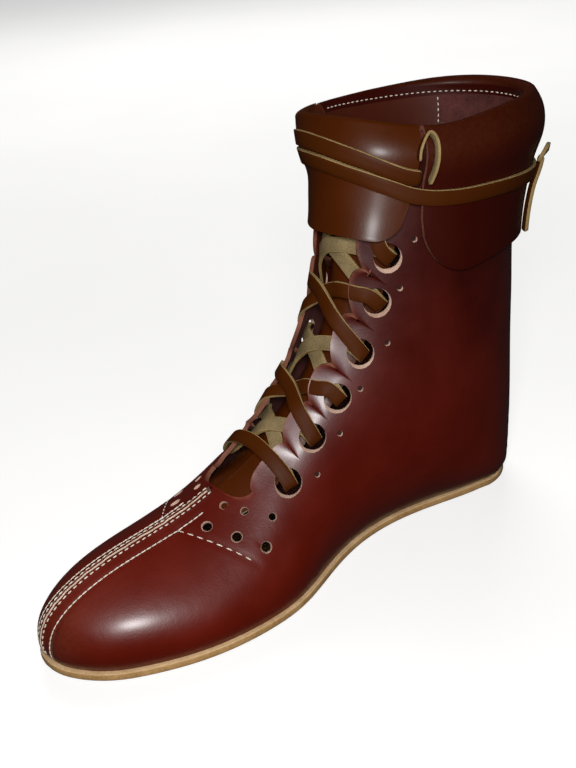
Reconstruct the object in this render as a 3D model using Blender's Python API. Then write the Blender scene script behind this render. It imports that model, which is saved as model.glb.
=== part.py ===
"""Right ankle boot: scalloped lacing, folded tongue, turned-down cuff and a thong wrapped round it.

+X points to the toe, +Y to the medial side, +Z up. The sole stands on Z = 0.
"""
import math

import bmesh
import bpy
import numpy as np

# Driving sizes in metres
SOLE_LENGTH = 0.2935
BALL_WIDTH = 0.0990
SHAFT_HEIGHT = 0.2190
WALL = 0.0022
GAP = 0.0003
CURVED_GAP = 0.0008
LACE_GAP = 0.0012
SOLE_THICKNESS = 0.0040
SOLE_LEDGE = 0.0022
SOLE_EDGE_BEVEL = 0.0006
INSOLE_THICKNESS = 0.0020
INSOLE_CLEARANCE = 0.0018
TONGUE_THICKNESS = 0.0020
CUFF_THICKNESS = 0.0022
THONG_WIDTH = 0.0075
THONG_THICKNESS = 0.0020
CORD_RADIUS = 0.0016
EYELET_RADIUS = 0.0067
CUFF_DEPTH = 0.0705
CUFF_CORNER = 0.0300
FLAP_DEPTH = 0.0525
FLAP_CORNER = 0.0160
HEM_STEP = 0.0020
SEAM_WIDTH = 0.0024
SEAM_HEIGHT = 0.0011

# Middle of the boot's box in the pattern's own coordinates, put over the frame's origin
CENTRE_X = 0.09933
CENTRE_Y = 0.00413

# The pattern below is drawn in millimetres at this size and graded to the driving sizes
PATTERN_LENGTH = 293.5
PATTERN_BALL = 99.0
PATTERN_HEIGHT = 219.0
GRADE = np.array((SOLE_LENGTH / PATTERN_LENGTH, BALL_WIDTH / PATTERN_BALL, SHAFT_HEIGHT / PATTERN_HEIGHT))
FEATHER_Z = SOLE_THICKNESS + GAP
FEATHER = FEATHER_Z / GRADE[2]

# One row for each section of the last, from the toe's tip to the collar.
# A section runs from the front line to its medial and lateral ends, on the sole or up the back.
# reach and bulge are the sideways handles of the half curve, drop and turn their places along it.
COLUMNS = (
    "x_front", "z_front", "y_front", "x_back", "z_back", "y_in", "y_out",
    "reach_in", "bulge_in", "reach_out", "bulge_out", "drop", "turn", "tilt",
)
SECTIONS = np.array((
    (257.3, FEATHER, 3.0, 257.3, FEATHER, 3.0, 3.0, 0, 0, 0, 0, 0.00, 0.60, 0),
    (259.4, 11.0, 3.5, 256.6, FEATHER, 9.0, -3.0, 5, 4, 4, 3, 0.00, 0.58, 0),
    (259.0, 18.5, 4.5, 254.5, FEATHER, 15.5, -7.5, 10, 6, 7, 4, 0.03, 0.56, 0),
    (256.2, 26.5, 6.0, 250.5, FEATHER, 22.2, -12.2, 14, 8, 10, 5, 0.06, 0.54, 0),
    (250.5, 33.4, 7.3, 244.5, FEATHER, 29.2, -17.2, 17, 9, 13, 6, 0.08, 0.52, 0),
    (241.0, 39.2, 7.8, 235.5, FEATHER, 36.3, -23.0, 19, 10, 16, 8, 0.10, 0.50, 0),
    (226.0, 44.4, 8.0, 222.0, FEATHER, 43.0, -29.8, 20, 11, 19, 9, 0.11, 0.49, 0),
    (206.0, 48.2, 8.0, 203.0, FEATHER, 49.6, -36.0, 20, 11, 20, 10, 0.12, 0.48, 0),
    (184.0, 52.0, 8.2, 182.0, FEATHER, 53.0, -39.5, 19, 11, 20, 10, 0.12, 0.47, 0),
    (163.0, 58.6, 8.8, 160.0, FEATHER, 52.8, -40.0, 20, 11, 21, 10, 0.10, 0.47, 0),
    (146.0, 67.5, 8.8, 138.0, FEATHER, 48.0, -38.0, 24, 13, 23, 11, 0.06, 0.50, 0),
    (131.0, 77.5, 8.8, 114.0, FEATHER, 37.2, -34.6, 27, 20, 25, 13, 0.03, 0.54, 0),
    (118.0, 88.5, 8.8, 88.0, FEATHER, 27.5, -31.0, 32, 28, 27, 16, 0.00, 0.60, 0),
    (107.0, 100.0, 8.6, 60.0, FEATHER, 23.9, -28.0, 37, 33, 30, 19, 0.00, 0.66, 0),
    (98.5, 112.0, 8.4, 32.0, FEATHER, 26.6, -25.6, 41, 34, 33, 21, 0.00, 0.72, 0),
    (92.0, 124.0, 8.2, 6.0, FEATHER, 31.0, -24.6, 45, 32, 36, 22, 0.00, 0.80, 0),
    (87.5, 135.0, 8.0, -15.0, FEATHER, 30.0, -22.0, 48, 33, 38, 22, 0.00, 0.87, 0),
    (84.0, 146.0, 8.0, -28.0, FEATHER, 19.7, -11.7, 51, 43, 40, 32, 0.00, 0.94, 0),
    (82.0, 154.0, 8.0, -33.5, FEATHER, 4.0, 4.0, 53, 60, 41, 50, 0.00, 1.00, 0),
    (80.3, 162.0, 8.0, -37.5, 22.0, 4.0, 4.0, 54, 58, 42, 48, 0.00, 1.00, 0),
    (78.5, 170.0, 8.0, -38.5, 48.0, 4.0, 4.0, 55, 57, 42, 47, 0.00, 1.00, 0),
    (76.5, 178.0, 8.0, -39.0, 80.0, 4.0, 4.0, 56, 56, 43, 46, 0.00, 1.00, 0),
    (74.5, 186.0, 7.5, -40.0, 112.0, 4.0, 4.0, 56, 56, 44, 45, 0.00, 1.00, 0.01),
    (72.5, 194.0, 7.0, -41.5, 144.0, 4.0, 4.0, 55, 55, 46, 46, 0.00, 1.00, 0.03),
    (71.8, 201.0, 6.0, -49.0, 176.0, 4.0, 4.0, 54, 55, 52, 52, 0.00, 1.00, 0.05),
    (71.5, 209.0, 5.0, -56.0, 203.0, 4.0, 4.0, 56, 58, 58, 60, 0.00, 1.00, 0.07),
    (68.0, 218.0, 2.0, -54.0, 216.0, 4.0, 4.0, 55, 53, 72, 57, 0.00, 1.00, 0.02),
))
TOP = len(SECTIONS) - 1.0
HEEL_ROW = 18.0
THROAT_ROW = 9.18

# The heel end of the lower edge is an arc over the last rows before the heel row
HEEL_ARC_START = 15.3
HEEL_ARC_X = -5.0
HEEL_ARC_Y = 4.0
HEEL_ARC_RADIUS = 28.5

# The collar's edge rises at the front and sags at both sides of the flap: heights in millimetres,
# each with its place round the leg and its half width, fading out down to a section row
COLLAR_WAVE = ((3.0, 0.06, 0.17), (-3.6, 0.37, 0.15), (-2.0, -0.42, 0.20))
COLLAR_WAVE_ROW = 24.0

# One row for each tab of the throat: section row of its lace hole, then distances in millimetres
# along the section from the front line to the hole's centre and to the tab's tip, then the section
# row and distance of the notch above the tab.
TAB_COLUMNS = ("row", "hole", "tip", "notch_row", "notch")
TABS = (
    (10.75, 30.0, 13.0, 11.35, 19.0),
    (12.05, 27.0, 11.0, 12.70, 20.5),
    (13.45, 28.5, 12.0, 14.15, 24.0),
    (15.20, 31.5, 15.0, 16.35, 28.0),
    (17.85, 36.0, 19.0, 19.05, 32.0),
    (20.35, 37.0, 20.0, 21.60, 33.0),
)
FIRST_NOTCH_ROW = 9.80
FIRST_NOTCH = 19.0
TAB_ROUNDNESS = 2.4
ROWS_PER_TAB = 5

# Punched holes of the vamp: section row, distance from the front line and radius in millimetres
VAMP_HOLES = (
    (9.04, 12.7, 1.7),
    (9.35, 22.7, 1.7),
    (9.86, 35.3, 1.7),
    (8.45, 15.5, 2.6),
    (8.85, 29.5, 2.6),
    (9.33, 43.4, 2.6),
)

# Half width of the tongue along the section, in millimetres, by section row
TONGUE_HALF = ((8.60, 17.0), (9.80, 24.0), (12.0, 26.0), (15.0, 33.0), (18.0, 40.0), (21.0, 42.0), (26.0, 43.0))

# Back face of cuff and flap outside the upper, in millimetres, by depth below the collar's edge
HANG_OFF = ((0.0, 0.8), (8.0, 3.2), (16.0, 4.6), (30.0, 2.6), (42.0, 2.3), (80.0, 2.3))

# Depth of the two wrapped bands' top edges below the collar's edge, in millimetres, by place round the leg
LOWER_BAND = (
    (-1.00, 34.0), (-0.65, 28.0), (-0.30, 19.2), (-0.08, 14.4), (0.0, 14.2), (0.053, 15.6), (0.105, 17.4),
    (0.154, 19.3), (0.202, 22.0), (0.269, 25.6), (0.322, 26.8), (0.378, 27.6), (0.48, 29.8), (0.61, 32.4),
    (0.80, 34.2), (1.00, 34.0),
)
UPPER_BAND = (
    (-1.00, 22.0), (-0.65, 16.5), (-0.30, 8.4), (-0.08, 6.2), (0.009, 7.2), (0.068, 9.2), (0.121, 11.1),
    (0.169, 12.7), (0.216, 14.2), (0.265, 15.6), (0.32, 16.0),
)

# Places round the leg; the flap's side edge by depth below the collar's edge in millimetres
CUFF_FRONT = 0.312
FLAP_SIDE = ((0.0, 0.298), (14.0, 0.290), (30.0, 0.275), (44.0, 0.260), (56.0, 0.254))
UPPER_BAND_START = -0.985
UPPER_BAND_END = 0.300


def second_derivatives(values):
    """Second derivatives of the natural cubic spline through evenly spaced rows."""
    count = len(values)
    matrix = np.eye(count)
    right = np.zeros_like(values)
    for i in range(1, count - 1):
        matrix[i, i - 1:i + 2] = (1, 4, 1)
        right[i] = 6 * (values[i - 1] - 2 * values[i] + values[i + 1])
    return np.linalg.solve(matrix, right)


BENDS = second_derivatives(SECTIONS)


def section(s):
    """Values of the section at row position s, by column name."""
    i = int(min(max(math.floor(s), 0), TOP - 1))
    b = s - i
    a = 1 - b
    values = a * SECTIONS[i] + b * SECTIONS[i + 1]
    values += ((a ** 3 - a) * BENDS[i] + (b ** 3 - b) * BENDS[i + 1]) / 6
    row = dict(zip(COLUMNS, values))
    if s <= HEEL_ROW:
        row["z_back"] = FEATHER
    else:
        row["turn"] = 1.0
    if HEEL_ARC_START < s < HEEL_ROW:
        angle = math.pi / 2 * (HEEL_ROW - s) / (HEEL_ROW - HEEL_ARC_START)
        row["x_back"] = HEEL_ARC_X - HEEL_ARC_RADIUS * math.cos(angle)
        row["y_in"] = HEEL_ARC_Y + HEEL_ARC_RADIUS * math.sin(angle)
        row["y_out"] = HEEL_ARC_Y - HEEL_ARC_RADIUS * math.sin(angle)
    if s >= HEEL_ROW:
        row["y_in"] = row["y_out"] = (row["y_in"] + row["y_out"]) / 2
    return row


def surface(s, t):
    """Point of the upper's outer face: t runs from -1 (lateral end) by 0 (front line) to 1 (medial end)."""
    row = section(s)
    end, reach, bulge = row["y_in"], row["reach_in"], row["bulge_in"]
    if t < 0:
        end, reach, bulge = row["y_out"], -row["reach_out"], -row["bulge_out"]
    u = abs(t)
    a = 1 - u
    along = 3 * a * a * u * row["drop"] + 3 * a * u * u * row["turn"] + u ** 3
    near = row["y_front"] * (a ** 3 + 3 * a * a * u) + 3 * a * a * u * reach
    far = end * (3 * a * u * u + u ** 3) + 3 * a * u * u * bulge
    y = near + far
    x = row["x_front"] + (row["x_back"] - row["x_front"]) * along
    z = row["z_front"] + (row["z_back"] - row["z_front"]) * along - row["tilt"] * (y - row["y_front"])
    near_top = max((s - COLLAR_WAVE_ROW) / (TOP - COLLAR_WAVE_ROW), 0) ** 2
    z += near_top * sum(rise * math.exp(-((t - middle) / half) ** 2) for rise, middle, half in COLLAR_WAVE)
    return np.array((x, y, z)) * GRADE


def unit(vector):
    return vector / np.linalg.norm(vector)


def outward(s, t):
    """Outward direction of the outer face; level along the lower edge that meets the sole."""
    step = 0.004
    low, high = max(s - step, 0), min(s + step, TOP)
    along = surface(high, t) - surface(low, t)
    if abs(t) == 1 and s <= HEEL_ROW:
        if s in (0, HEEL_ROW):
            return np.array((1.0 if s == 0 else -1.0, 0, 0))
        side = np.array((along[1], -along[0], 0)) * t
        return unit(side)
    left, right = max(t - step, -1), min(t + step, 1)
    return unit(np.cross(surface(s, right) - surface(s, left), along))


def layer(s, t, depth):
    """Point at a depth inside the outer face, never below the upper's lower edge."""
    point = surface(s, t) - depth * outward(s, t)
    point[2] = max(point[2], FEATHER_Z)
    return point


def place_at(s, distance):
    """Value of t at a signed distance in metres from the front line, along the section."""
    side = 1 if distance >= 0 else -1
    steps = np.linspace(0, side, 121)
    points = np.array([surface(s, t) for t in steps])
    lengths = np.concatenate(((0,), np.cumsum(np.linalg.norm(np.diff(points, axis=0), axis=1))))
    return side * float(np.interp(abs(distance), lengths, np.abs(steps)))


def row_at(t, depth):
    """Section row at a depth in metres below the collar's edge, down the outer face."""
    rows = np.linspace(TOP, 14, 121)
    points = np.array([surface(s, t) for s in rows])
    lengths = np.concatenate(((0,), np.cumsum(np.linalg.norm(np.diff(points, axis=0), axis=1))))
    return float(np.interp(depth, lengths, rows))


def hang(t, depth, off):
    """Point outside the leg at a depth below the collar's edge."""
    return layer(row_at(t, depth), t, -off)


def over_rim(t, off, up):
    """Point above the collar's edge."""
    rise = unit(surface(TOP, t) - surface(TOP - 0.2, t))
    return surface(TOP, t) + off * outward(TOP, t) + up * rise


def table(rows, place):
    """Smooth reading of a two-column table."""
    keys, values = zip(*rows)
    i = int(np.clip(np.searchsorted(keys, place) - 1, 0, len(keys) - 2))
    f = np.clip((place - keys[i]) / (keys[i + 1] - keys[i]), 0, 1)
    f = f * f * (3 - 2 * f)
    return values[i] + (values[i + 1] - values[i]) * f


def hang_off(depth):
    """Distance of the cuff's or flap's back face from the upper at a depth, in metres."""
    return 0.001 * table(HANG_OFF, depth * 1000)


def throat_distance(s):
    """Distance of the scalloped throat edge from the front line, in metres."""
    if s <= THROAT_ROW:
        return 0.0
    if s <= FIRST_NOTCH_ROW:
        f = (s - THROAT_ROW) / (FIRST_NOTCH_ROW - THROAT_ROW)
        return 0.001 * FIRST_NOTCH * math.sqrt(1 - (1 - f) ** 2)
    low_row, low = FIRST_NOTCH_ROW, FIRST_NOTCH
    for tab in TABS:
        row = dict(zip(TAB_COLUMNS, tab))
        if s <= row["notch_row"]:
            f = (s - low_row) / (row["notch_row"] - low_row)
            notch = low + (row["notch"] - low) * f
            rise = (1 - abs(2 * f - 1) ** TAB_ROUNDNESS) ** (1 / TAB_ROUNDNESS)
            return 0.001 * (notch + (row["tip"] - notch) * rise)
        low_row, low = row["notch_row"], row["notch"]
    return 0.001 * low


def upper_rows():
    """Section rows of the upper's grid, closer together along the scallops."""
    rows = [0, 0.5, 1, 1.6, 2.3, 3, 4, 5, 6, 7, 8, 8.6, THROAT_ROW, 9.26, 9.45, FIRST_NOTCH_ROW]
    low = FIRST_NOTCH_ROW
    for tab in TABS:
        high = dict(zip(TAB_COLUMNS, tab))["notch_row"]
        for k in range(1, ROWS_PER_TAB + 1):
            swing = (1 - math.cos(math.pi * k / ROWS_PER_TAB)) / 2
            rows.append(low + (high - low) * swing)
        low = high
    rows += [22.4, 23.2, 24.0, 24.7, 25.3, TOP]
    nearest = min(range(len(rows)), key=lambda i: abs(rows[i] - HEEL_ROW))
    rows[nearest] = HEEL_ROW
    return rows


def new_material(name, colour, roughness):
    material = bpy.data.materials.new(name)
    material.use_nodes = True
    shader = material.node_tree.nodes["Principled BSDF"]
    shader.inputs["Base Color"].default_value = (*colour, 1)
    shader.inputs["Roughness"].default_value = roughness
    shader.inputs["Metallic"].default_value = 0
    return material


def new_object(name, vertices, faces, material):
    """Mesh object of the boot with its faces pointing out."""
    mesh = bpy.data.meshes.new(name)
    mesh.from_pydata([tuple(map(float, v)) for v in vertices], [], faces)
    work = bmesh.new()
    work.from_mesh(mesh)
    bmesh.ops.recalc_face_normals(work, faces=work.faces)
    work.to_mesh(mesh)
    work.free()
    mesh.shade_smooth()
    mesh.set_sharp_from_angle(angle=math.radians(40))
    piece = bpy.data.objects.new(name, mesh)
    bpy.context.collection.objects.link(piece)
    piece.data.materials.append(material)
    piece.parent = boot
    return piece


def sheet_object(name, front, back, material, closed=False):
    """Solid between two equal grids of points, rimmed all round; closed joins the last row to the first."""
    rows, columns = len(front), len(front[0])
    vertices = [p for row in front for p in row] + [p for row in back for p in row]
    shift = rows * columns

    def at(i, k):
        return (i % rows) * columns + k

    faces = []
    spans = rows if closed else rows - 1
    for i in range(spans):
        for k in range(columns - 1):
            quad = (at(i, k), at(i, k + 1), at(i + 1, k + 1), at(i + 1, k))
            faces.append(quad)
            faces.append(tuple(shift + v for v in reversed(quad)))
        for k in (0, columns - 1):
            faces.append((at(i, k), at(i + 1, k), shift + at(i + 1, k), shift + at(i, k)))
    if not closed:
        for i in (0, rows - 1):
            for k in range(columns - 1):
                faces.append((at(i, k), at(i, k + 1), shift + at(i, k + 1), shift + at(i, k)))
    return new_object(name, vertices, faces, material)


def outline(inset, count=30):
    """Plan outline of the upper's lower edge moved inwards: medial side to the heel, lateral side back."""
    rows = np.linspace(0, HEEL_ROW, count + 1)
    inner = [layer(s, 1, inset) for s in rows]
    outer = [layer(s, -1, inset) for s in rows[1:-1]]
    return [(p[0], p[1]) for p in inner + outer[::-1]]


def slab_object(name, points, low, high, material):
    """Flat piece of an outline, extruded upwards."""
    mesh = bpy.data.meshes.new(name)
    work = bmesh.new()
    face = work.faces.new([work.verts.new((x, y, low)) for x, y in points])
    grown = bmesh.ops.extrude_face_region(work, geom=[face])
    moved = [v for v in grown["geom"] if isinstance(v, bmesh.types.BMVert)]
    bmesh.ops.translate(work, verts=moved, vec=(0, 0, high - low))
    bmesh.ops.recalc_face_normals(work, faces=work.faces)
    work.to_mesh(mesh)
    work.free()
    piece = bpy.data.objects.new(name, mesh)
    bpy.context.collection.objects.link(piece)
    piece.data.materials.append(material)
    piece.parent = boot
    return piece


def make_upper(material):
    """Hollow wall from toe to collar: outer and inner faces, lower edge, throat edges and collar edge."""
    rows = upper_rows()
    columns = 10
    vertices = []
    index = {}

    def vertex(face, i, side, k):
        s = rows[i]
        shared = i == 0 or (k == 0 and s <= THROAT_ROW) or (k == columns - 1 and s >= HEEL_ROW)
        key = (face, i, 0 if shared else side, 0 if i == 0 else k)
        if key not in index:
            edge = 0.0 if s <= THROAT_ROW else abs(place_at(s, side * throat_distance(s)))
            t = side * (edge + (1 - edge) * k / (columns - 1))
            if i == 0:
                t = 1
            index[key] = len(vertices)
            vertices.append(layer(s, t, WALL * face))
        return index[key]

    faces = []

    def add(*corners):
        kept = tuple(dict.fromkeys(corners))
        if len(kept) > 2:
            faces.append(kept)

    for side in (1, -1):
        for i in range(len(rows) - 1):
            for k in range(columns - 1):
                for face in (0, 1):
                    add(vertex(face, i, side, k), vertex(face, i, side, k + 1),
                        vertex(face, i + 1, side, k + 1), vertex(face, i + 1, side, k))
            if rows[i] >= THROAT_ROW:
                add(vertex(0, i, side, 0), vertex(0, i + 1, side, 0),
                    vertex(1, i + 1, side, 0), vertex(1, i, side, 0))
            if rows[i + 1] <= HEEL_ROW:
                last = columns - 1
                add(vertex(0, i, side, last), vertex(0, i + 1, side, last),
                    vertex(1, i + 1, side, last), vertex(1, i, side, last))
        end = len(rows) - 1
        for k in range(columns - 1):
            add(vertex(0, end, side, k), vertex(0, end, side, k + 1),
                vertex(1, end, side, k + 1), vertex(1, end, side, k))
    upper = new_object("upper", vertices, faces, material)
    cut = upper.modifiers.new("punched_holes", "BOOLEAN")
    cut.operation = "DIFFERENCE"
    cut.object = hole_punches()
    return upper


def hole_punches():
    """Rods through the wall at each lace hole and each punched hole of the vamp."""
    holes = [(row[0], row[1], EYELET_RADIUS, 12) for row in TABS]
    holes += [(row, distance, 0.001 * radius, 8) for row, distance, radius in VAMP_HOLES]
    half = 0.006
    vertices = []
    faces = []
    for s, distance, radius, sides in holes:
        for side in (1, -1):
            t = place_at(s, side * 0.001 * distance)
            middle = layer(s, t, WALL / 2)
            axis = outward(s, t)
            across = unit(np.cross(axis, (0, 0, 1)))
            rise = np.cross(axis, across)
            start = len(vertices)
            for end in (-half, half):
                for k in range(sides):
                    angle = 2 * math.pi * k / sides
                    spoke = math.cos(angle) * across + math.sin(angle) * rise
                    vertices.append(middle + end * axis + radius * spoke)
            low = [start + k for k in range(sides)]
            high = [start + sides + k for k in range(sides)]
            faces.append(tuple(reversed(low)))
            faces.append(tuple(high))
            for k in range(sides):
                n = (k + 1) % sides
                faces.append((low[k], low[n], high[n], high[k]))
    punches = new_object("hole_punches", vertices, faces, bpy.data.materials["upper_leather"])
    punches.hide_render = True
    punches.display_type = "WIRE"
    return punches


def make_vamp_seam(material):
    """Raised seam strip from the throat's foot to just above the sole at the toe."""
    front = []
    back = []
    for s in [row for row in upper_rows() if 1 <= row < THROAT_ROW] + [THROAT_ROW - 0.08]:
        places = [place_at(s, side * SEAM_WIDTH / 2) for side in (-1, 1)]
        back.append([layer(s, t, -CURVED_GAP) for t in places])
        front.append([layer(s, t, -CURVED_GAP - SEAM_HEIGHT) for t in places])
    return sheet_object("vamp_seam", front, back, material)


def rounded(depth, distance, radius):
    """Depth of a lower edge whose corner is an arc, at a distance from the piece's side."""
    if distance >= radius:
        return depth
    return depth - radius + math.sqrt(radius ** 2 - (radius - distance) ** 2)


def hang_depths(straight, depth, count):
    """Depths of a hanging piece's rows: even down its straight side, then two to the hem."""
    return np.concatenate((np.linspace(0, straight, count), ((straight + depth) / 2, depth)))


def roll(t, inside, outside, thickness, steps=4):
    """Two rows of points of a sheet that turns over the collar's edge, from inside to outside."""
    middle = (outside - inside) / 2
    radius = (outside + inside) / 2
    near = []
    far = []
    for k in range(steps + 1):
        angle = math.pi * (1 - k / steps)
        for points, r in ((near, radius), (far, radius + thickness)):
            points.append(over_rim(t, middle + r * math.cos(angle), r * math.sin(angle)))
    return near, far


def make_cuff(material):
    """Collar turned down outside the upper from its edge, open at the front."""
    places = np.concatenate((np.linspace(CUFF_FRONT, 1, 20), np.linspace(-1, -CUFF_FRONT, 20)[1:]))
    near_rows = []
    far_rows = []
    for t in places:
        edge = np.linalg.norm(surface(TOP, t) - surface(TOP, math.copysign(CUFF_FRONT, t)))
        depth = rounded(CUFF_DEPTH, edge, CUFF_CORNER)
        near = []
        far = []
        for down in hang_depths(CUFF_DEPTH - CUFF_CORNER - HEM_STEP, depth, 9):
            off = hang_off(down)
            near.append(hang(t, down, off))
            far.append(hang(t, down, off + CUFF_THICKNESS))
        near_rows.append(near)
        far_rows.append(far)
    return sheet_object("cuff", far_rows, near_rows, material)


def tongue_depth(s):
    """Depth of the tongue's face inside the upper: close at vamp and rim, clear of the lace between."""
    close = WALL + LACE_GAP
    under_lace = WALL + LACE_GAP + THONG_THICKNESS + CURVED_GAP
    return table(((THROAT_ROW, close), (10.4, under_lace), (21.8, under_lace), (24.6, close)), s)


def flap_side(depth):
    """Place of the flap's side edge round the leg at a depth in metres."""
    return table(FLAP_SIDE, depth * 1000)


def make_tongue(material):
    """Tongue from under the vamp up behind the lacing, folded over the rim and hanging as a flap."""
    near_rows = []
    far_rows = []
    rows = np.linspace(8.6, TOP - 0.4, 20)
    for w in np.linspace(-1, 1, 11):
        near = []
        far = []
        for s in rows:
            t = place_at(s, w * 0.001 * table(TONGUE_HALF, s))
            depth = tongue_depth(s)
            near.append(layer(s, t, depth))
            far.append(layer(s, t, depth + TONGUE_THICKNESS))
        top = w * flap_side(0)
        edge = np.linalg.norm(surface(TOP, top) - surface(TOP, math.copysign(flap_side(0), w)))
        hem = rounded(FLAP_DEPTH, edge, FLAP_CORNER)
        over_near, over_far = roll(top, tongue_depth(TOP), hang_off(0), TONGUE_THICKNESS)
        near += over_near
        far += over_far
        for down in hang_depths(FLAP_DEPTH - FLAP_CORNER - HEM_STEP, hem, 7)[1:]:
            side = w * flap_side(down)
            off = hang_off(down)
            near.append(hang(side, down, off))
            far.append(hang(side, down, off + TONGUE_THICKNESS))
        near_rows.append(near)
        far_rows.append(far)
    return sheet_object("tongue", far_rows, near_rows, material)


def band_rows(path, width, low, high):
    """Back and front points of a flat band along a path of section places (s, t)."""
    back = []
    front = []
    for i, (s, t) in enumerate(path):
        before, after = path[max(i - 1, 0)], path[min(i + 1, len(path) - 1)]
        run = unit(surface(*after) - surface(*before))
        normal = outward(s, t)
        across = unit(np.cross(normal, run)) * width / 2
        middle = surface(s, t)
        back.append([middle + low * normal - across, middle + low * normal + across])
        front.append([middle + high * normal - across, middle + high * normal + across])
    return front, back


def lace_path(low, high, side, count=8):
    """Path from a lace hole on one side to a hole on the other side."""
    path = []
    for f in np.linspace(0, 1, count):
        s = low[0] + (high[0] - low[0]) * f
        distance = 0.001 * (low[1] * (1 - f) - high[1] * f)
        path.append((s, place_at(s, side * distance)))
    return path


def make_lace(material):
    """Bottom bar and five crossings, outside and inside by turns, each a solid of its own."""
    outside = (CURVED_GAP, CURVED_GAP + THONG_THICKNESS)
    inside = (-WALL - LACE_GAP - THONG_THICKNESS, -WALL - LACE_GAP)
    bar = lace_path(TABS[0], TABS[0], 1)
    sheet_object("lace_bar_1", *band_rows(bar, THONG_WIDTH, *outside), material)
    for n in range(len(TABS) - 1):
        low, high = inside if n % 2 == 0 else outside
        name = f"lace_crossing_{n + 1}_{n + 2}"
        strands = []
        for side in (1, -1):
            path = lace_path(TABS[n], TABS[n + 1], side)
            strands.append(sheet_object(name, *band_rows(path, THONG_WIDTH, low, high), material))
        crossing, strand = strands
        join = crossing.modifiers.new("joined_strands", "BOOLEAN")
        join.operation = "UNION"
        join.object = strand
        strand.name = name + "_strand"
        strand.hide_render = True
        strand.display_type = "WIRE"


def wrap_band(name, places, depths, material, closed):
    """Thong lying round cuff and flap."""
    front = []
    back = []
    for t in places:
        top = 0.001 * table(depths, t)
        reach = np.linspace(top, top + 1.5 * THONG_WIDTH, 10)
        face = np.array([hang(t, depth, hang_off(depth) + CUFF_THICKNESS) for depth in reach])
        lengths = np.concatenate(((0,), np.cumsum(np.linalg.norm(np.diff(face, axis=0), axis=1))))
        edges = [float(np.interp(part * THONG_WIDTH, lengths, reach)) for part in (0, 0.5, 1)]
        offs = [hang_off(depth) + CUFF_THICKNESS + CURVED_GAP for depth in edges]
        back.append([hang(t, depth, off) for depth, off in zip(edges, offs)])
        front.append([hang(t, depth, off + THONG_THICKNESS) for depth, off in zip(edges, offs)])
    return sheet_object(name, front, back, material, closed)


def smooth_route(points, count):
    """Evenly read points of a smooth curve through a route's own points."""
    points = np.array(points)
    bends = second_derivatives(points)
    route = []
    for place in np.linspace(0, len(points) - 1, count):
        i = int(min(place, len(points) - 2))
        b = place - i
        a = 1 - b
        bend = ((a ** 3 - a) * bends[i] + (b ** 3 - b) * bends[i + 1]) / 6
        route.append(a * points[i] + b * points[i + 1] + bend)
    return route


def cord_object(name, route, material):
    """Round tube with closed ends along a route."""
    curve = bpy.data.curves.new(name, "CURVE")
    curve.dimensions = "3D"
    curve.bevel_depth = CORD_RADIUS
    curve.bevel_resolution = 2
    curve.use_fill_caps = True
    spline = curve.splines.new("POLY")
    spline.points.add(len(route) - 1)
    for point, place in zip(spline.points, route):
        point.co = (*map(float, place), 1)
    piece = bpy.data.objects.new(name, curve)
    bpy.context.collection.objects.link(piece)
    curve.materials.append(material)
    piece.parent = boot
    return piece


# Routes of the thong's free stretches: place round the leg, depth below the collar's edge and
# height above the cuff's face, in millimetres
LOOP_ROUTE = (
    (0.286, 12.6, 2.0), (0.286, 9.2, 3.2), (0.299, 5.2, 4.4), (0.313, 3.6, 4.8),
    (0.327, 6.8, 4.2), (0.328, 13.0, 3.0), (0.320, 23.6, 1.9),
)
KNOT_ROUTE = (
    (0.785, 32.0, 2.4), (0.776, 28.5, 3.6), (0.795, 25.0, 4.8), (0.816, 27.5, 4.6), (0.812, 31.8, 3.2),
)
TAIL_ROUTE = (
    (0.806, 44.0, 2.5), (0.806, 50.0, 4.2), (0.806, 56.5, 4.2), (0.804, 63.5, 3.2), (0.802, 72.0, 2.2),
)


def leg_route(rows):
    """Route in space from places on the cuff."""
    route = []
    for t, depth, height in rows:
        depth, height = 0.001 * depth, 0.001 * height
        route.append(hang(t, depth, hang_off(depth) + CUFF_THICKNESS + height))
    return route


for old in list(bpy.data.objects):
    bpy.data.objects.remove(old, do_unlink=True)

boot = bpy.data.objects.new("boot", None)
bpy.context.collection.objects.link(boot)
boot.location = (-CENTRE_X, -CENTRE_Y, 0)

sole_leather = new_material("sole_leather", (0.60, 0.36, 0.14), 0.75)
insole_leather = new_material("insole_leather", (0.48, 0.30, 0.16), 0.85)
upper_leather = new_material("upper_leather", (0.085, 0.010, 0.004), 0.35)
seam_leather = new_material("seam_leather", (0.50, 0.34, 0.22), 0.80)
tongue_leather = new_material("tongue_leather", (0.075, 0.020, 0.006), 0.40)
cuff_leather = new_material("cuff_leather", (0.085, 0.012, 0.005), 0.38)
lace_leather = new_material("lace_leather", (0.10, 0.040, 0.012), 0.55)
thong_leather = new_material("thong_leather", (0.11, 0.045, 0.014), 0.55)

outsole = slab_object("outsole", outline(-SOLE_LEDGE), 0, SOLE_THICKNESS, sole_leather)
soft = outsole.modifiers.new("soft_edges", "BEVEL")
soft.width = SOLE_EDGE_BEVEL
soft.segments = 1
soft.limit_method = "ANGLE"
insole_low = SOLE_THICKNESS + GAP
slab_object("insole", outline(WALL + INSOLE_CLEARANCE), insole_low, insole_low + INSOLE_THICKNESS, insole_leather)
make_upper(upper_leather)
make_vamp_seam(seam_leather)
make_tongue(tongue_leather)
make_cuff(cuff_leather)
make_lace(lace_leather)
around = np.linspace(-1, 1, 49)[:-1]
part_way = np.linspace(UPPER_BAND_START, UPPER_BAND_END, 32)
wrap_band("wrap_lower", around, LOWER_BAND, thong_leather, closed=True)
wrap_band("wrap_upper", part_way, UPPER_BAND, thong_leather, closed=False)
cord_object("thong_loop", smooth_route(leg_route(LOOP_ROUTE), 11), thong_leather)
cord_object("thong_knot", smooth_route(leg_route(KNOT_ROUTE), 7), thong_leather)
cord_object("thong_tail", smooth_route(leg_route(TAIL_ROUTE), 6), thong_leather)
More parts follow.
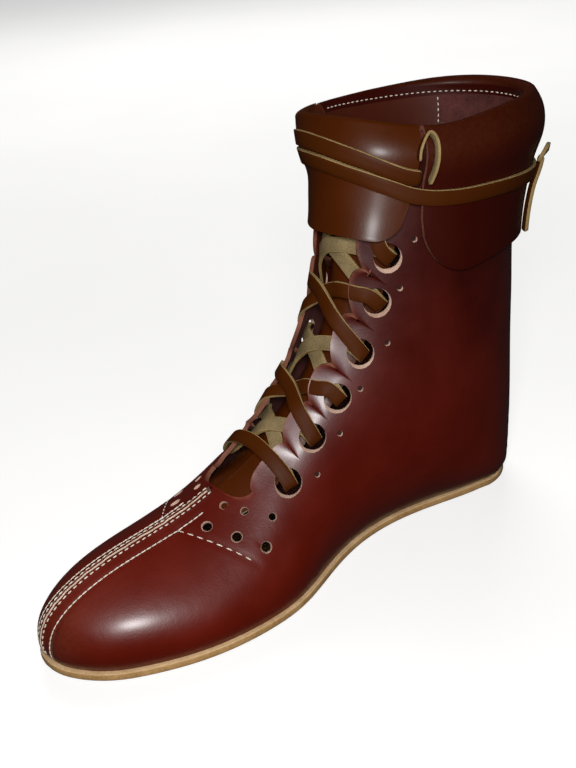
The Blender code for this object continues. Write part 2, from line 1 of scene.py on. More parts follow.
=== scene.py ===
# %% [markdown]
# A right ankle boot of polished oxblood leather on a single flat sole.
# The imported model is a fixed frame: each piece made here lies where its solid lies.
# First the frame is loaded.

# %% Load the frame
import math
from collections import namedtuple
from functools import partial

import bpy
import numpy as np
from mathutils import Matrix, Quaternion, Vector


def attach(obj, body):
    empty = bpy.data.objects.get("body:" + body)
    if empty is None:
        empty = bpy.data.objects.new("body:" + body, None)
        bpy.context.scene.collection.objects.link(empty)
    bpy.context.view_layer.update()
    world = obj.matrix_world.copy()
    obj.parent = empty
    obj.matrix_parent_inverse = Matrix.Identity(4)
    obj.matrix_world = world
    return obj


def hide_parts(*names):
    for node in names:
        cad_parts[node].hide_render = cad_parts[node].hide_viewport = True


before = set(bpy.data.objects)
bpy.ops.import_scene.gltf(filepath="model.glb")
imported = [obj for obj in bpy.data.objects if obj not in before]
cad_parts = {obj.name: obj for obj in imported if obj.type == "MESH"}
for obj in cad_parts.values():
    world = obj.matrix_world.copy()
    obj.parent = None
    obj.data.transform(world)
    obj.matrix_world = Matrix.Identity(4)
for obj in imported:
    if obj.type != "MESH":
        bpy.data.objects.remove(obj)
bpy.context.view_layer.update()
MM = 0.001
print("solids:", len(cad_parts))

# %% [markdown]
# The camera stands where the photo was taken from, a little above and in front of the boot's inner side.
# Its place was solved from the photo, so it is typed in as a point, an aim and a small roll.
# The lens is longer than the photo's, so that the boot fills the picture.

# %% Camera
CAMERA_PLACE = Vector((0.2926, 0.4219, 0.3381))
CAMERA_AIM = Vector((0.0061, -0.0009, 0.0943))
CAMERA_ROLL = math.radians(-5.6)
CAMERA_LENS = 52.0
CAMERA_SENSOR = 36.0


def select_only(*pieces):
    """Deselects everything, then selects these pieces and makes the first one active."""
    bpy.ops.object.select_all(action="DESELECT")
    for piece in pieces:
        piece.select_set(True)
    if pieces:
        bpy.context.view_layer.objects.active = pieces[0]


select_only()
bpy.ops.object.camera_add(location=CAMERA_PLACE)
camera = bpy.context.object
camera.name = "photo_camera"
camera.data.sensor_width = CAMERA_SENSOR
camera.data.lens = CAMERA_LENS
camera.rotation_mode = "QUATERNION"
look = (CAMERA_AIM - CAMERA_PLACE).to_track_quat("-Z", "Y")
camera.rotation_quaternion = look @ Quaternion((0, 0, 1), CAMERA_ROLL)
bpy.context.scene.camera = camera
print("camera distance:", round((CAMERA_AIM - CAMERA_PLACE).length, 3))

# %% [markdown]
# A shoemaker cuts every piece to fit one last, the wooden foot inside the shoe.
# Here the last is a table: one row for each section, from the toe's tip to the collar.
# All leather pieces below are laid on the surface that these rows give, so they fit each other.

# %% The last's table, in millimetres
CENTRE = np.array((99.33, 4.13, 0.0))
FEATHER = 4.3
COLUMNS = (
    "x_front", "z_front", "y_front", "x_back", "z_back", "y_in", "y_out",
    "reach_in", "bulge_in", "reach_out", "bulge_out", "drop", "turn", "tilt",
)
SECTIONS = np.array((
    (257.3, FEATHER, 3.0, 257.3, FEATHER, 3.0, 3.0, 0, 0, 0, 0, 0.00, 0.60, 0),
    (259.4, 11.0, 3.5, 256.6, FEATHER, 9.0, -3.0, 5, 4, 4, 3, 0.00, 0.58, 0),
    (259.0, 18.5, 4.5, 254.5, FEATHER, 15.5, -7.5, 10, 6, 7, 4, 0.03, 0.56, 0),
    (256.2, 26.5, 6.0, 250.5, FEATHER, 22.2, -12.2, 14, 8, 10, 5, 0.06, 0.54, 0),
    (250.5, 33.4, 7.3, 244.5, FEATHER, 29.2, -17.2, 17, 9, 13, 6, 0.08, 0.52, 0),
    (241.0, 39.2, 7.8, 235.5, FEATHER, 36.3, -23.0, 19, 10, 16, 8, 0.10, 0.50, 0),
    (226.0, 44.4, 8.0, 222.0, FEATHER, 43.0, -29.8, 20, 11, 19, 9, 0.11, 0.49, 0),
    (206.0, 48.2, 8.0, 203.0, FEATHER, 49.6, -36.0, 20, 11, 20, 10, 0.12, 0.48, 0),
    (184.0, 52.0, 8.2, 182.0, FEATHER, 53.0, -39.5, 19, 11, 20, 10, 0.12, 0.47, 0),
    (163.0, 58.6, 8.8, 160.0, FEATHER, 52.8, -40.0, 20, 11, 21, 10, 0.10, 0.47, 0),
    (146.0, 67.5, 8.8, 138.0, FEATHER, 48.0, -38.0, 24, 13, 23, 11, 0.06, 0.50, 0),
    (131.0, 77.5, 8.8, 114.0, FEATHER, 37.2, -34.6, 27, 20, 25, 13, 0.03, 0.54, 0),
    (118.0, 88.5, 8.8, 88.0, FEATHER, 27.5, -31.0, 32, 28, 27, 16, 0.00, 0.60, 0),
    (107.0, 100.0, 8.6, 60.0, FEATHER, 23.9, -28.0, 37, 33, 30, 19, 0.00, 0.66, 0),
    (98.5, 112.0, 8.4, 32.0, FEATHER, 26.6, -25.6, 41, 34, 33, 21, 0.00, 0.72, 0),
    (92.0, 124.0, 8.2, 6.0, FEATHER, 31.0, -24.6, 45, 32, 36, 22, 0.00, 0.80, 0),
    (87.5, 135.0, 8.0, -15.0, FEATHER, 30.0, -22.0, 48, 33, 38, 22, 0.00, 0.87, 0),
    (84.0, 146.0, 8.0, -28.0, FEATHER, 19.7, -11.7, 51, 43, 40, 32, 0.00, 0.94, 0),
    (82.0, 154.0, 8.0, -33.5, FEATHER, 4.0, 4.0, 53, 60, 41, 50, 0.00, 1.00, 0),
    (80.3, 162.0, 8.0, -37.5, 22.0, 4.0, 4.0, 54, 58, 42, 48, 0.00, 1.00, 0),
    (78.5, 170.0, 8.0, -38.5, 48.0, 4.0, 4.0, 55, 57, 42, 47, 0.00, 1.00, 0),
    (76.5, 178.0, 8.0, -39.0, 80.0, 4.0, 4.0, 56, 56, 43, 46, 0.00, 1.00, 0),
    (74.5, 186.0, 7.5, -40.0, 112.0, 4.0, 4.0, 56, 56, 44, 45, 0.00, 1.00, 0.01),
    (72.5, 194.0, 7.0, -41.5, 144.0, 4.0, 4.0, 55, 55, 46, 46, 0.00, 1.00, 0.03),
    (71.8, 201.0, 6.0, -49.0, 176.0, 4.0, 4.0, 54, 55, 52, 52, 0.00, 1.00, 0.05),
    (71.5, 209.0, 5.0, -56.0, 203.0, 4.0, 4.0, 56, 58, 58, 60, 0.00, 1.00, 0.07),
    (68.0, 218.0, 2.0, -54.0, 216.0, 4.0, 4.0, 55, 53, 72, 57, 0.00, 1.00, 0.02),
))
TOP = len(SECTIONS) - 1.0
HEEL_ROW = 18.0
THROAT_ROW = 9.18
HEEL_ARC_START = 15.3
HEEL_ARC_X = -5.0
HEEL_ARC_Y = 4.0
HEEL_ARC_RADIUS = 28.5
COLLAR_WAVE = ((3.0, 0.06, 0.17), (-3.6, 0.37, 0.15), (-2.0, -0.42, 0.20))
COLLAR_WAVE_ROW = 24.0
print("last:", len(SECTIONS), "sections")

# %% [markdown]
# Between two rows the table is read along a smooth spline, and each half section is one Bezier curve.
# A place on the last is (s, t): s is the section row, and t runs from -1 on the outer side by 0 at the
# front to 1 on the inner side.
# NumPy reads thousands of places at once, which plain loops would do slowly.

# %% The last's surface
def second_derivatives(values):
    """Second derivatives of the natural cubic spline through evenly spaced rows."""
    count = len(values)
    matrix = np.eye(count)
    right = np.zeros_like(values)
    for i in range(1, count - 1):
        matrix[i, i - 1:i + 2] = (1, 4, 1)
        right[i] = 6 * (values[i - 1] - 2 * values[i] + values[i + 1])
    return np.linalg.solve(matrix, right)


BENDS = second_derivatives(SECTIONS)


def spline(values, bends, place):
    """Values of a spline at a place counted in rows."""
    i = np.clip(np.floor(place), 0, len(values) - 2).astype(int)
    b = (place - i)[..., None]
    a = 1 - b
    bend = ((a ** 3 - a) * bends[i] + (b ** 3 - b) * bends[i + 1]) / 6
    return a * values[i] + b * values[i + 1] + bend


def section(s):
    """Values of the sections at rows s, by column name."""
    row = dict(zip(COLUMNS, np.moveaxis(spline(SECTIONS, BENDS, s), -1, 0)))
    on_sole = s <= HEEL_ROW
    row["z_back"] = np.where(on_sole, FEATHER, row["z_back"])
    row["turn"] = np.where(on_sole, row["turn"], 1.0)
    angle = np.pi / 2 * (HEEL_ROW - s) / (HEEL_ROW - HEEL_ARC_START)
    in_arc = (s > HEEL_ARC_START) & (s < HEEL_ROW)
    row["x_back"] = np.where(in_arc, HEEL_ARC_X - HEEL_ARC_RADIUS * np.cos(angle), row["x_back"])
    middle = (row["y_in"] + row["y_out"]) / 2
    for key, side in (("y_in", 1), ("y_out", -1)):
        arc = HEEL_ARC_Y + side * HEEL_ARC_RADIUS * np.sin(angle)
        row[key] = np.where(in_arc, arc, np.where(s >= HEEL_ROW, middle, row[key]))
    return row


def surface(s, t):
    """Points of the upper's outer face, in metres."""
    s, t = np.broadcast_arrays(np.asarray(s, float), np.asarray(t, float))
    row = section(s)
    end = np.where(t < 0, row["y_out"], row["y_in"])
    reach = np.where(t < 0, -row["reach_out"], row["reach_in"])
    bulge = np.where(t < 0, -row["bulge_out"], row["bulge_in"])
    u = np.abs(t)
    a = 1 - u
    along = 3 * a * a * u * row["drop"] + 3 * a * u * u * row["turn"] + u ** 3
    y = row["y_front"] * (a ** 3 + 3 * a * a * u) + 3 * a * a * u * reach
    y = y + end * (3 * a * u * u + u ** 3) + 3 * a * u * u * bulge
    x = row["x_front"] + (row["x_back"] - row["x_front"]) * along
    z = row["z_front"] + (row["z_back"] - row["z_front"]) * along - row["tilt"] * (y - row["y_front"])
    near_top = np.maximum((s - COLLAR_WAVE_ROW) / (TOP - COLLAR_WAVE_ROW), 0) ** 2
    for rise, middle, half in COLLAR_WAVE:
        z = z + near_top * rise * np.exp(-((t - middle) / half) ** 2)
    return (np.stack((x, y, z), -1) - CENTRE) * MM


def unit(vectors):
    return vectors / np.linalg.norm(vectors, axis=-1, keepdims=True)


def share(x):
    """Values held between 0 and 1."""
    return np.clip(x, 0, 1)


def outward(s, t):
    """Outward directions of the outer face, level along the lower edge."""
    s, t = np.broadcast_arrays(np.asarray(s, float), np.asarray(t, float))
    step = 0.004
    along = surface(np.minimum(s + step, TOP), t) - surface(np.maximum(s - step, 0), t)
    across = surface(s, np.minimum(t + step, 1)) - surface(s, np.maximum(t - step, -1))
    level = np.stack((along[..., 1] * t, -along[..., 0] * t, np.zeros_like(t)), -1)
    level = np.where((s <= 0)[..., None], (1.0, 0, 0), level)
    level = np.where((s == HEEL_ROW)[..., None], (-1.0, 0, 0), level)
    on_edge = (np.abs(t) >= 1) & (s <= HEEL_ROW) | (s <= 0)
    return unit(np.where(on_edge[..., None], level, np.cross(across, along)))


def layer(s, t, depth):
    """Points at a depth in millimetres inside the outer face, never below its lower edge."""
    points = surface(s, t) - np.asarray(depth)[..., None] * MM * outward(s, t)
    points[..., 2] = np.maximum(points[..., 2], FEATHER * MM)
    return points


print("toe to heel:", round(float(surface(1, 0)[0] - surface(19, 1)[0]), 4))

# %% [markdown]
# Leather is marked out with a tape, not in rows and parts of a curve.
# These helpers turn a distance from the front line, or a depth below the collar, into a place on the last.

# %% Measuring on the last
STEPS = np.linspace(0, 1, 161)
LOWEST_ROW = 14.0


def running_lengths(points):
    """Length along each line of points, from its start."""
    spans = np.linalg.norm(np.diff(points, axis=-2), axis=-1)
    return np.concatenate((np.zeros(spans.shape[:-1] + (1,)), np.cumsum(spans, -1)), -1)


def read_rows(s, values, side, back=False):
    """Reads t from distances round each section, or with back distances from t."""
    s, values, side = np.broadcast_arrays(s, values, side)
    out = np.zeros(s.shape)
    for way in (-1, 1):
        chosen = side == way
        rows, which = np.unique(s[chosen], return_inverse=True)
        if len(rows) == 0:
            continue
        lengths = running_lengths(surface(rows[:, None], way * STEPS[None]))
        wanted = values[chosen]
        found = np.zeros(len(wanted))
        for k in range(len(rows)):
            pick = which == k
            pair = (STEPS, lengths[k]) if back else (lengths[k], STEPS)
            found[pick] = np.interp(wanted[pick], *pair)
        out[chosen] = found
    return out


def place_at(s, distance):
    """Value of t at a signed distance in millimetres from the front line."""
    side = np.where(np.asarray(distance) < 0, -1, 1)
    return side * read_rows(np.asarray(s, float), np.abs(distance) * MM, side)


def distance_at(s, t):
    """Distance in millimetres from the front line, whatever the side."""
    return read_rows(s, np.abs(t), np.where(np.asarray(t) < 0, -1, 1), back=True) / MM


def row_at(t, depth):
    """Section row at a depth in millimetres below the collar, down the outer face."""
    t, depth = np.broadcast_arrays(np.asarray(t, float), np.asarray(depth, float))
    rows = np.linspace(TOP, LOWEST_ROW, len(STEPS))
    places, which = np.unique(t.ravel(), return_inverse=True)
    lengths = running_lengths(surface(rows[None], places[:, None]))
    found = np.zeros(t.size)
    for k in range(len(places)):
        pick = which.ravel() == k
        found[pick] = np.interp(depth.ravel()[pick] * MM, lengths[k], rows)
    return found.reshape(t.shape)


def hang(t, depth, off):
    """Points off the leg's outer face at a depth below the collar, both in millimetres."""
    return layer(row_at(t, depth), t, -np.asarray(off))


def curve_table(rows, place):
    """Smooth reading of a two-column table."""
    keys, values = np.array(rows, float).T
    slopes = np.gradient(values, keys)
    i = np.clip(np.searchsorted(keys, place) - 1, 0, len(keys) - 2)
    h = keys[i + 1] - keys[i]
    f = share((place - keys[i]) / h)
    low = (1 + 2 * f) * (1 - f) ** 2 * values[i] + f * (1 - f) ** 2 * h * slopes[i]
    high = f * f * (3 - 2 * f) * values[i + 1] + f * f * (f - 1) * h * slopes[i + 1]
    return low + high


print("collar round, in mm:", round(float(distance_at(TOP, np.array((-1.0, 1.0))).sum()), 1))

# %% [markdown]
# Every leather here is made from a few noises: pores, pull marks and a slow change of dye.
# One function turns a hex colour to linear values, and one adds a node with its settings and links.

# %% Colour and node helpers
COAT_ROUGHNESS = 0.24
LEATHER_IOR = 1.48


def colour(code):
    """Linear colour of an sRGB hex value."""
    parts = [int(code[i:i + 2], 16) / 255 for i in (1, 3, 5)]
    linear = [p / 12.92 if p <= 0.04045 else ((p + 0.055) / 1.055) ** 2.4 for p in parts]
    return (*linear, 1.0)


def feed(node, inputs):
    """Sets a node's sockets, by name or number, to values, or links them to outputs."""
    for name, value in inputs.items():
        if isinstance(value, bpy.types.NodeSocket):
            node.id_data.links.new(value, node.inputs[name])
        else:
            node.inputs[name].default_value = value


def add_node(material, kind, inputs=None, **settings):
    """Adds one shader node with its settings, and feeds its sockets."""
    node = material.node_tree.nodes.new("ShaderNode" + kind)
    for name, value in settings.items():
        setattr(node, name, value)
    feed(node, inputs or {})
    return node


def set_ramp(node, *stops):
    """Colour stops of a ramp, as (place, hex)."""
    elements = node.color_ramp.elements
    while len(elements) < len(stops):
        elements.new(0.5)
    for element, (place, code) in zip(elements, stops):
        element.position = place
        element.color = colour(code)


def new_material(name, roughness, coat=0.0, specular=0.35):
    """Material with its shader's even values set; returns it, its shader and what adds its nodes."""
    material = bpy.data.materials.new(name)
    material.use_nodes = True
    shader = material.node_tree.nodes["Principled BSDF"]
    feed(shader, {
        "Roughness": roughness, "Coat Weight": coat, "Coat Roughness": COAT_ROUGHNESS,
        "Specular IOR Level": specular, "IOR": LEATHER_IOR,
    })
    return material, shader, partial(add_node, material)


print("oxblood as linear values:", [round(value, 3) for value in colour("#621202")])

# %% [markdown]
# Polished leather shows three things: dye that pools into darker clouds, a fine net of pores,
# and a waxed face whose gloss is a little uneven. Pores are about 0.4 mm apart on calf; they are drawn
# at 0.8 or 0.9 mm, because finer ones don't show. A rubbed attribute marks edges where polish wears thin.

# %% Polished leather
CLOUD_SIZE = 28.0
SPECK_SIZE = 2.2
CREASE_SIZE = 7.0
CREASE_DEPTH = 0.35
PORE_DEPTH = 0.06
FADE_LOW = 10.0
FADE_HIGH = 170.0


def polished_leather(name, deep, face, worn, roughness, coat, pore=0.9, specular=0.35, painted_light_and_dye_fade=0.0):
    """Dyed and waxed grain side of leather; its height fade darkens the dye up the leg and makes the foot a
    little paler as painted light.
    """
    material, shader, add = new_material(name, roughness, coat, specular)
    place = add("TexCoord").outputs["Object"]
    cloud, speck, crease = (
        add("TexNoise", {"Vector": place, "Scale": 1 / (size * MM), "Detail": detail}).outputs["Fac"]
        for size, detail in ((CLOUD_SIZE, 3.0), (SPECK_SIZE, 3.0), (CREASE_SIZE, 6.0))
    )
    height = add("SeparateXYZ", {"Vector": place}).outputs["Z"]
    # Painted light: low on the foot the fade lifts the colour as a fill light would; up the leg it darkens
    # the dye
    fade = add("MapRange", {
        "Value": height, 1: FADE_LOW * MM, 2: FADE_HIGH * MM, 3: 0.3 + painted_light_and_dye_fade / 3, 4: 0.3 - painted_light_and_dye_fade,
    }).outputs[0]
    shade = add("Math", {0: cloud, 1: 0.45, 2: fade}, operation="MULTIPLY_ADD").outputs[0]
    dye_and_painted_light = add("ValToRGB", {"Fac": shade})
    set_ramp(dye_and_painted_light, (0.05, deep), (0.75, face))
    rubbed = add("Attribute", attribute_name="rubbed").outputs["Fac"]
    wear = add("Math", {0: rubbed, 1: speck}, operation="MULTIPLY").outputs[0]
    tone = add("Mix", {0: wear, 6: dye_and_painted_light.outputs["Color"], 7: colour(worn)}, data_type="RGBA").outputs[2]
    gloss = add("MapRange", {
        "Value": cloud, 1: 0.3, 2: 0.7, 3: roughness - 0.05, 4: roughness + 0.07,
    }).outputs[0]
    pores = add("TexVoronoi", {
        "Vector": place, "Scale": 1 / (pore * MM), "Smoothness": 0.6,
    }, feature="SMOOTH_F1").outputs["Distance"]
    fine = add("Bump", {"Height": pores, "Strength": 0.5, "Distance": PORE_DEPTH * MM}).outputs[0]
    soft = add("Bump", {
        "Height": crease, "Strength": 0.5, "Distance": CREASE_DEPTH * MM, "Normal": fine,
    }).outputs[0]
    feed(shader, {"Base Color": tone, "Roughness": gloss, "Normal": soft})
    return material


# Waxed oxblood calf: deep red with a broad soft shine, browner and darker up the leg, and paler low on the
# foot as painted light
oxblood_calf = polished_leather("oxblood_calf", "#2c0300", "#621202", "#8a4a36", 0.44, 0.3, painted_light_and_dye_fade=0.44)
# Thin red-brown calf: hardly waxed, so it stays dark, and brown where the rim is rubbed
cuff_calf = polished_leather("cuff_calf", "#280300", "#390801", "#441a04", 0.48, 0.06, specular=0.2)
# Oiled brown calf: a warm even brown with a low shine
tongue_calf = polished_leather("tongue_calf", "#391400", "#491d01", "#8a5a30", 0.46, 0.14, specular=0.15)
# Lining calf without wax: a dull brown
boot_lining = polished_leather("boot_lining", "#350d03", "#4a1806", "#5c2a06", 0.55, 0.0)
# Grain side of the thong hide: brown, dry and almost matt
thong_grain = polished_leather("thong_grain", "#361500", "#4a2001", "#8a6a40", 0.58, 0.0, 0.8, 0.12)
print("polished leathers made")

# %% [markdown]
# The other side of leather is flesh: a matt nap of short fibres. A cut edge shows the same fibres end on,
# paler because the dye doesn't reach them. Both are rough, so their detail is in colour and bump.

# %% Raw leather
PATCH_SIZE = 9.0
NAP_SHARE = 0.6


def raw_leather(name, deep, face, fibre, relief, roughness=0.86):
    """Undyed or matt side of leather, with fibres of a size in millimetres."""
    material, shader, add = new_material(name, roughness)
    place = add("TexCoord").outputs["Object"]
    nap = add("TexNoise", {
        "Vector": place, "Scale": 1 / (fibre * MM), "Detail": 6.0, "Roughness": 0.7,
    }).outputs["Fac"]
    patch = add("TexNoise", {"Vector": place, "Scale": 1 / (PATCH_SIZE * MM), "Detail": 3.0})
    slow = add("Math", {0: patch.outputs["Fac"], 1: 1 - NAP_SHARE}, operation="MULTIPLY").outputs[0]
    both = add("Math", {0: nap, 1: NAP_SHARE, 2: slow}, operation="MULTIPLY_ADD").outputs[0]
    tone = add("ValToRGB", {"Fac": both})
    set_ramp(tone, (0.32, deep), (0.68, face))
    rough = add("Bump", {"Height": nap, "Strength": 0.8, "Distance": relief * MM}).outputs[0]
    feed(shader, {"Base Color": tone.outputs["Color"], "Normal": rough})
    return material


# Flesh side of dyed calf: a dark red nap that takes no shine
boot_flesh = raw_leather("boot_flesh", "#280a06", "#62302a", 0.9, 0.5)
# Punched edge of calf: pale pink fibres end on
cut_edge = raw_leather("cut_edge", "#9a7360", "#d6b8a4", 0.6, 0.2)
# Bottom of a prick: painted shade, dark like a hole through to the boot's inside
painted_hole_shade = raw_leather("painted_hole_shade", "#1c0805", "#381811", 0.6, 0.2)
# Trimmed edge with dye washed over it: half as pale as a fresh cut
dyed_edge = raw_leather("dyed_edge", "#54281a", "#8c5a46", 0.6, 0.2)
# Bark-tanned sole hide, its cut side: coarse tan fibres; its top, pressed smooth, is paler, partly as painted
# light on the lit face
sole_tan = raw_leather("sole_tan", "#8e6a3c", "#c29a66", 1.6, 0.25)
sole_top_painted_lit = raw_leather("sole_top_painted_lit", "#a8855c", "#d2b288", 1.2, 0.2)
# Insole hide: a darker, matt tan
insole_tan = raw_leather("insole_tan", "#4c341e", "#745434", 1.4, 0.3)
# Flesh side of the thong hide: olive nap; its cut edges show as a paler line
thong_flesh = raw_leather("thong_flesh", "#5a4a2c", "#94805a", 0.8, 0.35)
thong_edge = raw_leather("thong_edge", "#6e5830", "#a68c5c", 0.7, 0.25)
# Raw edges of the vamp's two halves: cream
seam_cream = raw_leather("seam_cream", "#a58c74", "#e2d0ba", 0.8, 0.25)
# Waxed linen thread: off-white, a little smoother than leather fibres
linen_thread = raw_leather("linen_thread", "#c2b6a2", "#efe8da", 0.5, 0.15, 0.7)
print("raw leathers made")

# %% [markdown]
# A flat sheet of leather starts as a grid, the way it starts as a flat hide on the bench.
# The grid's points are then laid on the last, and Solidify gives it a wall with a flesh side and a cut edge.

# %% Sheets from grids
def lay_grid(name, across, along, place):
    """Adds a grid whose points lie, and are rubbed, as place(u, v) says, u and v from 0 to 1."""
    select_only()
    bpy.ops.mesh.primitive_grid_add(x_subdivisions=across, y_subdivisions=along, size=1)
    piece = bpy.context.object
    piece.name = piece.data.name = name
    flat = np.empty(len(piece.data.vertices) * 3)
    piece.data.vertices.foreach_get("co", flat)
    u = np.round((flat[0::3] + 0.5) * across) / across
    v = np.round((flat[1::3] + 0.5) * along) / along
    points, rubbed = place(u, v)
    piece.data.vertices.foreach_set("co", points.ravel())
    wear = piece.data.attributes.new("rubbed", "FLOAT", "POINT")
    wear.data.foreach_set("value", (rubbed + 0 * u).astype(np.float32))
    piece.data.update()
    return piece


def clothe(piece, *materials):
    """Gives a piece its materials, in the order of their numbers."""
    for material in materials:
        piece.data.materials.append(material)


def merge_points(piece, reach=0.01 * MM):
    """Joins points that lie on each other."""
    select_only(piece)
    bpy.ops.object.mode_set(mode="EDIT")
    bpy.ops.mesh.select_all(action="SELECT")
    bpy.ops.mesh.remove_doubles(threshold=reach)
    bpy.ops.object.mode_set(mode="OBJECT")


def thicken(piece, thickness):
    """Gives a sheet its wall in millimetres, on the side away from its faces."""
    select_only(piece)
    wall = piece.modifiers.new("wall", "SOLIDIFY")
    wall.thickness = thickness * MM
    wall.offset = -1
    wall.use_even_offset = True
    wall.material_offset = 1
    wall.material_offset_rim = 2
    bpy.ops.object.modifier_apply(modifier=wall.name)


def finish_piece(piece, nodes, angle=35):
    """Smooth shading, body, and hiding the solids that the piece stands for."""
    select_only(piece)
    bpy.ops.object.shade_smooth_by_angle(angle=math.radians(angle))
    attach(piece, "root")
    if nodes:
        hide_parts(*nodes)
    print(piece.name, "triangles:", sum(len(p.vertices) - 2 for p in piece.data.polygons))


print("tools for sheets ready")

# %% [markdown]
# The throat's edge is cut in six round tabs on each side, with a lace hole in each.
# The edge is a line of distances from the front: down to each notch, out to each tip.

# %% Throat edge
Tab = namedtuple("Tab", "row hole tip notch_row notch")
TABS = [Tab(*values) for values in (
    (10.75, 30.0, 13.0, 11.35, 19.0),
    (12.05, 27.0, 11.0, 12.70, 20.5),
    (13.45, 28.5, 12.0, 14.15, 24.0),
    (15.20, 31.5, 15.0, 16.35, 28.0),
    (17.85, 36.0, 19.0, 19.05, 32.0),
    (20.35, 37.0, 20.0, 21.60, 33.0),
)]
FIRST_NOTCH_ROW = 9.80
FIRST_NOTCH = 19.0
TAB_ROUNDNESS = 2.4
EYELET_RADIUS = 6.7
WALL = 2.2
VAMP_STEPS = 100
THROAT_STEPS = 11
TAB_STEPS = 21
LEG_STEPS = 22


def throat_edge(s):
    """Distance of the throat's edge from the front line at each row, in millimetres."""
    f = share((s - THROAT_ROW) / (FIRST_NOTCH_ROW - THROAT_ROW))
    edge = FIRST_NOTCH * np.sqrt(1 - (1 - f) ** 2)
    low_row, low = FIRST_NOTCH_ROW, FIRST_NOTCH
    for tab in TABS:
        f = share((s - low_row) / (tab.notch_row - low_row))
        notch = low + (tab.notch - low) * f
        rise = (1 - np.abs(2 * f - 1) ** TAB_ROUNDNESS) ** (1 / TAB_ROUNDNESS)
        inside = (s > low_row) & (s <= tab.notch_row)
        edge = np.where(inside, notch + (tab.tip - notch) * rise, edge)
        low_row, low = tab.notch_row, tab.notch
    return np.where(s > low_row, low, edge)


def upper_rows():
    """Rows of the upper's grid: even over the vamp, close together at each notch."""
    rows = [*np.linspace(0, THROAT_ROW, VAMP_STEPS)]
    rows += [*np.linspace(THROAT_ROW, FIRST_NOTCH_ROW, THROAT_STEPS)[1:]]
    swing = (1 - np.cos(np.linspace(0, np.pi, TAB_STEPS)[1:])) / 2
    low = FIRST_NOTCH_ROW
    for tab in TABS:
        rows += [*(low + (tab.notch_row - low) * swing)]
        low = tab.notch_row
    return np.array(rows + [*np.linspace(low, TOP, LEG_STEPS)[1:]])


print("throat edge at the tabs:", [round(float(throat_edge(np.array(tab.row))), 1) for tab in TABS])

# %% [markdown]
# Leather isn't a smooth shell. It lifts to the seam, sinks under each row of stitches, and its tabs curl up.
# These soft forms are added to the last's surface, in millimetres, before the sheet gets its wall.

# %% Soft forms of the upper
CROSS_STITCH = ((0.0, 7.77), (7.9, 7.89), (47.4, 8.97))
CROSS_DISTANCES, CROSS_ROWS = np.array(CROSS_STITCH).T
OUTER_STITCH = 7.9
OUTER_STITCH_END = 8.63
ROW_LENGTH = 21.0
SEAM_LIFT = 0.7
SEAM_LIFT_WIDTH = 3.0
STITCH_SINK = 0.45
OUTER_SINK_WIDTH = 1.2
CROSS_SINK_WIDTH = 1.3
TOE_FADE = 1.5
TAB_CURL = 1.5
TAB_CURL_REACH = 10.0
TAB_CURL_FADE = 0.3
HEEL_EASE = 1.7
HEEL_EASE_WIDTH = 2.2

# Row, distance from the front line, half sizes up and across, and height, in millimetres but for the row
SOFT_FORMS = (
    (9.6, 52.0, 10.0, 7.0, -0.9),
    (12.2, 60.0, 14.0, 10.0, -0.7),
    (10.6, 68.0, 16.0, 12.0, 0.8),
    (17.0, 78.0, 16.0, 14.0, -0.7),
    (20.0, 70.0, 14.0, 12.0, 0.6),
)


def hill(x, width):
    """Smooth bump of height 1 round 0."""
    return np.exp(-(x / width) ** 2)


def soft_relief(s, distance):
    """Height of the leather over the last's surface, by row and distance in millimetres."""
    toe = share(s / TOE_FADE)
    height = SEAM_LIFT * hill(distance, SEAM_LIFT_WIDTH) * (share((THROAT_ROW - s) / 0.25) * toe)
    stitched = share((OUTER_STITCH_END - s) / 0.1) * toe
    height = height - STITCH_SINK * hill(distance - OUTER_STITCH, OUTER_SINK_WIDTH) * stitched
    off = (s - np.interp(distance, CROSS_DISTANCES, CROSS_ROWS)) * ROW_LENGTH
    crossed = share((CROSS_DISTANCES[-1] + 2 - distance) / 2)
    height = height - STITCH_SINK * hill(off, CROSS_SINK_WIDTH) * crossed
    past = share(1 - (distance - throat_edge(s)) / TAB_CURL_REACH)
    tabs = share((s - FIRST_NOTCH_ROW) / TAB_CURL_FADE) * share((TABS[-1].notch_row - s) / TAB_CURL_FADE)
    height = height + TAB_CURL * past ** 2 * tabs
    for row, middle, up, across, rise in SOFT_FORMS:
        height = height + rise * hill((s - row) * ROW_LENGTH, up) * hill(distance - middle, across)
    return height


def eased_surface(s, t):
    """The last's surface with the turn at the heel row eased, as leather bridges it."""
    reach = HEEL_EASE * hill(s - HEEL_ROW, HEEL_EASE_WIDTH) * (1 - np.abs(t) ** 6)
    total = 0
    for part, weight in ((-1, 1), (-0.5, 2), (0, 3), (0.5, 2), (1, 1)):
        total = total + weight * surface(np.clip(s + part * reach, 0, TOP), t)
    return total / 9


def skin(s, t):
    """Points of the upper's finished outer face."""
    distance = distance_at(s, t)
    return eased_surface(s, t) + outward(s, t) * (soft_relief(s, distance) * MM)[..., None]


print("lift at the seam, in mm:", round(float(soft_relief(np.array(5.0), np.array(0.0))), 2))

# %% [markdown]
# The upper is one sheet of leather, closed at the back and open at the throat.
# Two half grids, one for each side, are laid from the throat's edge to the sole or to the back, and merged.

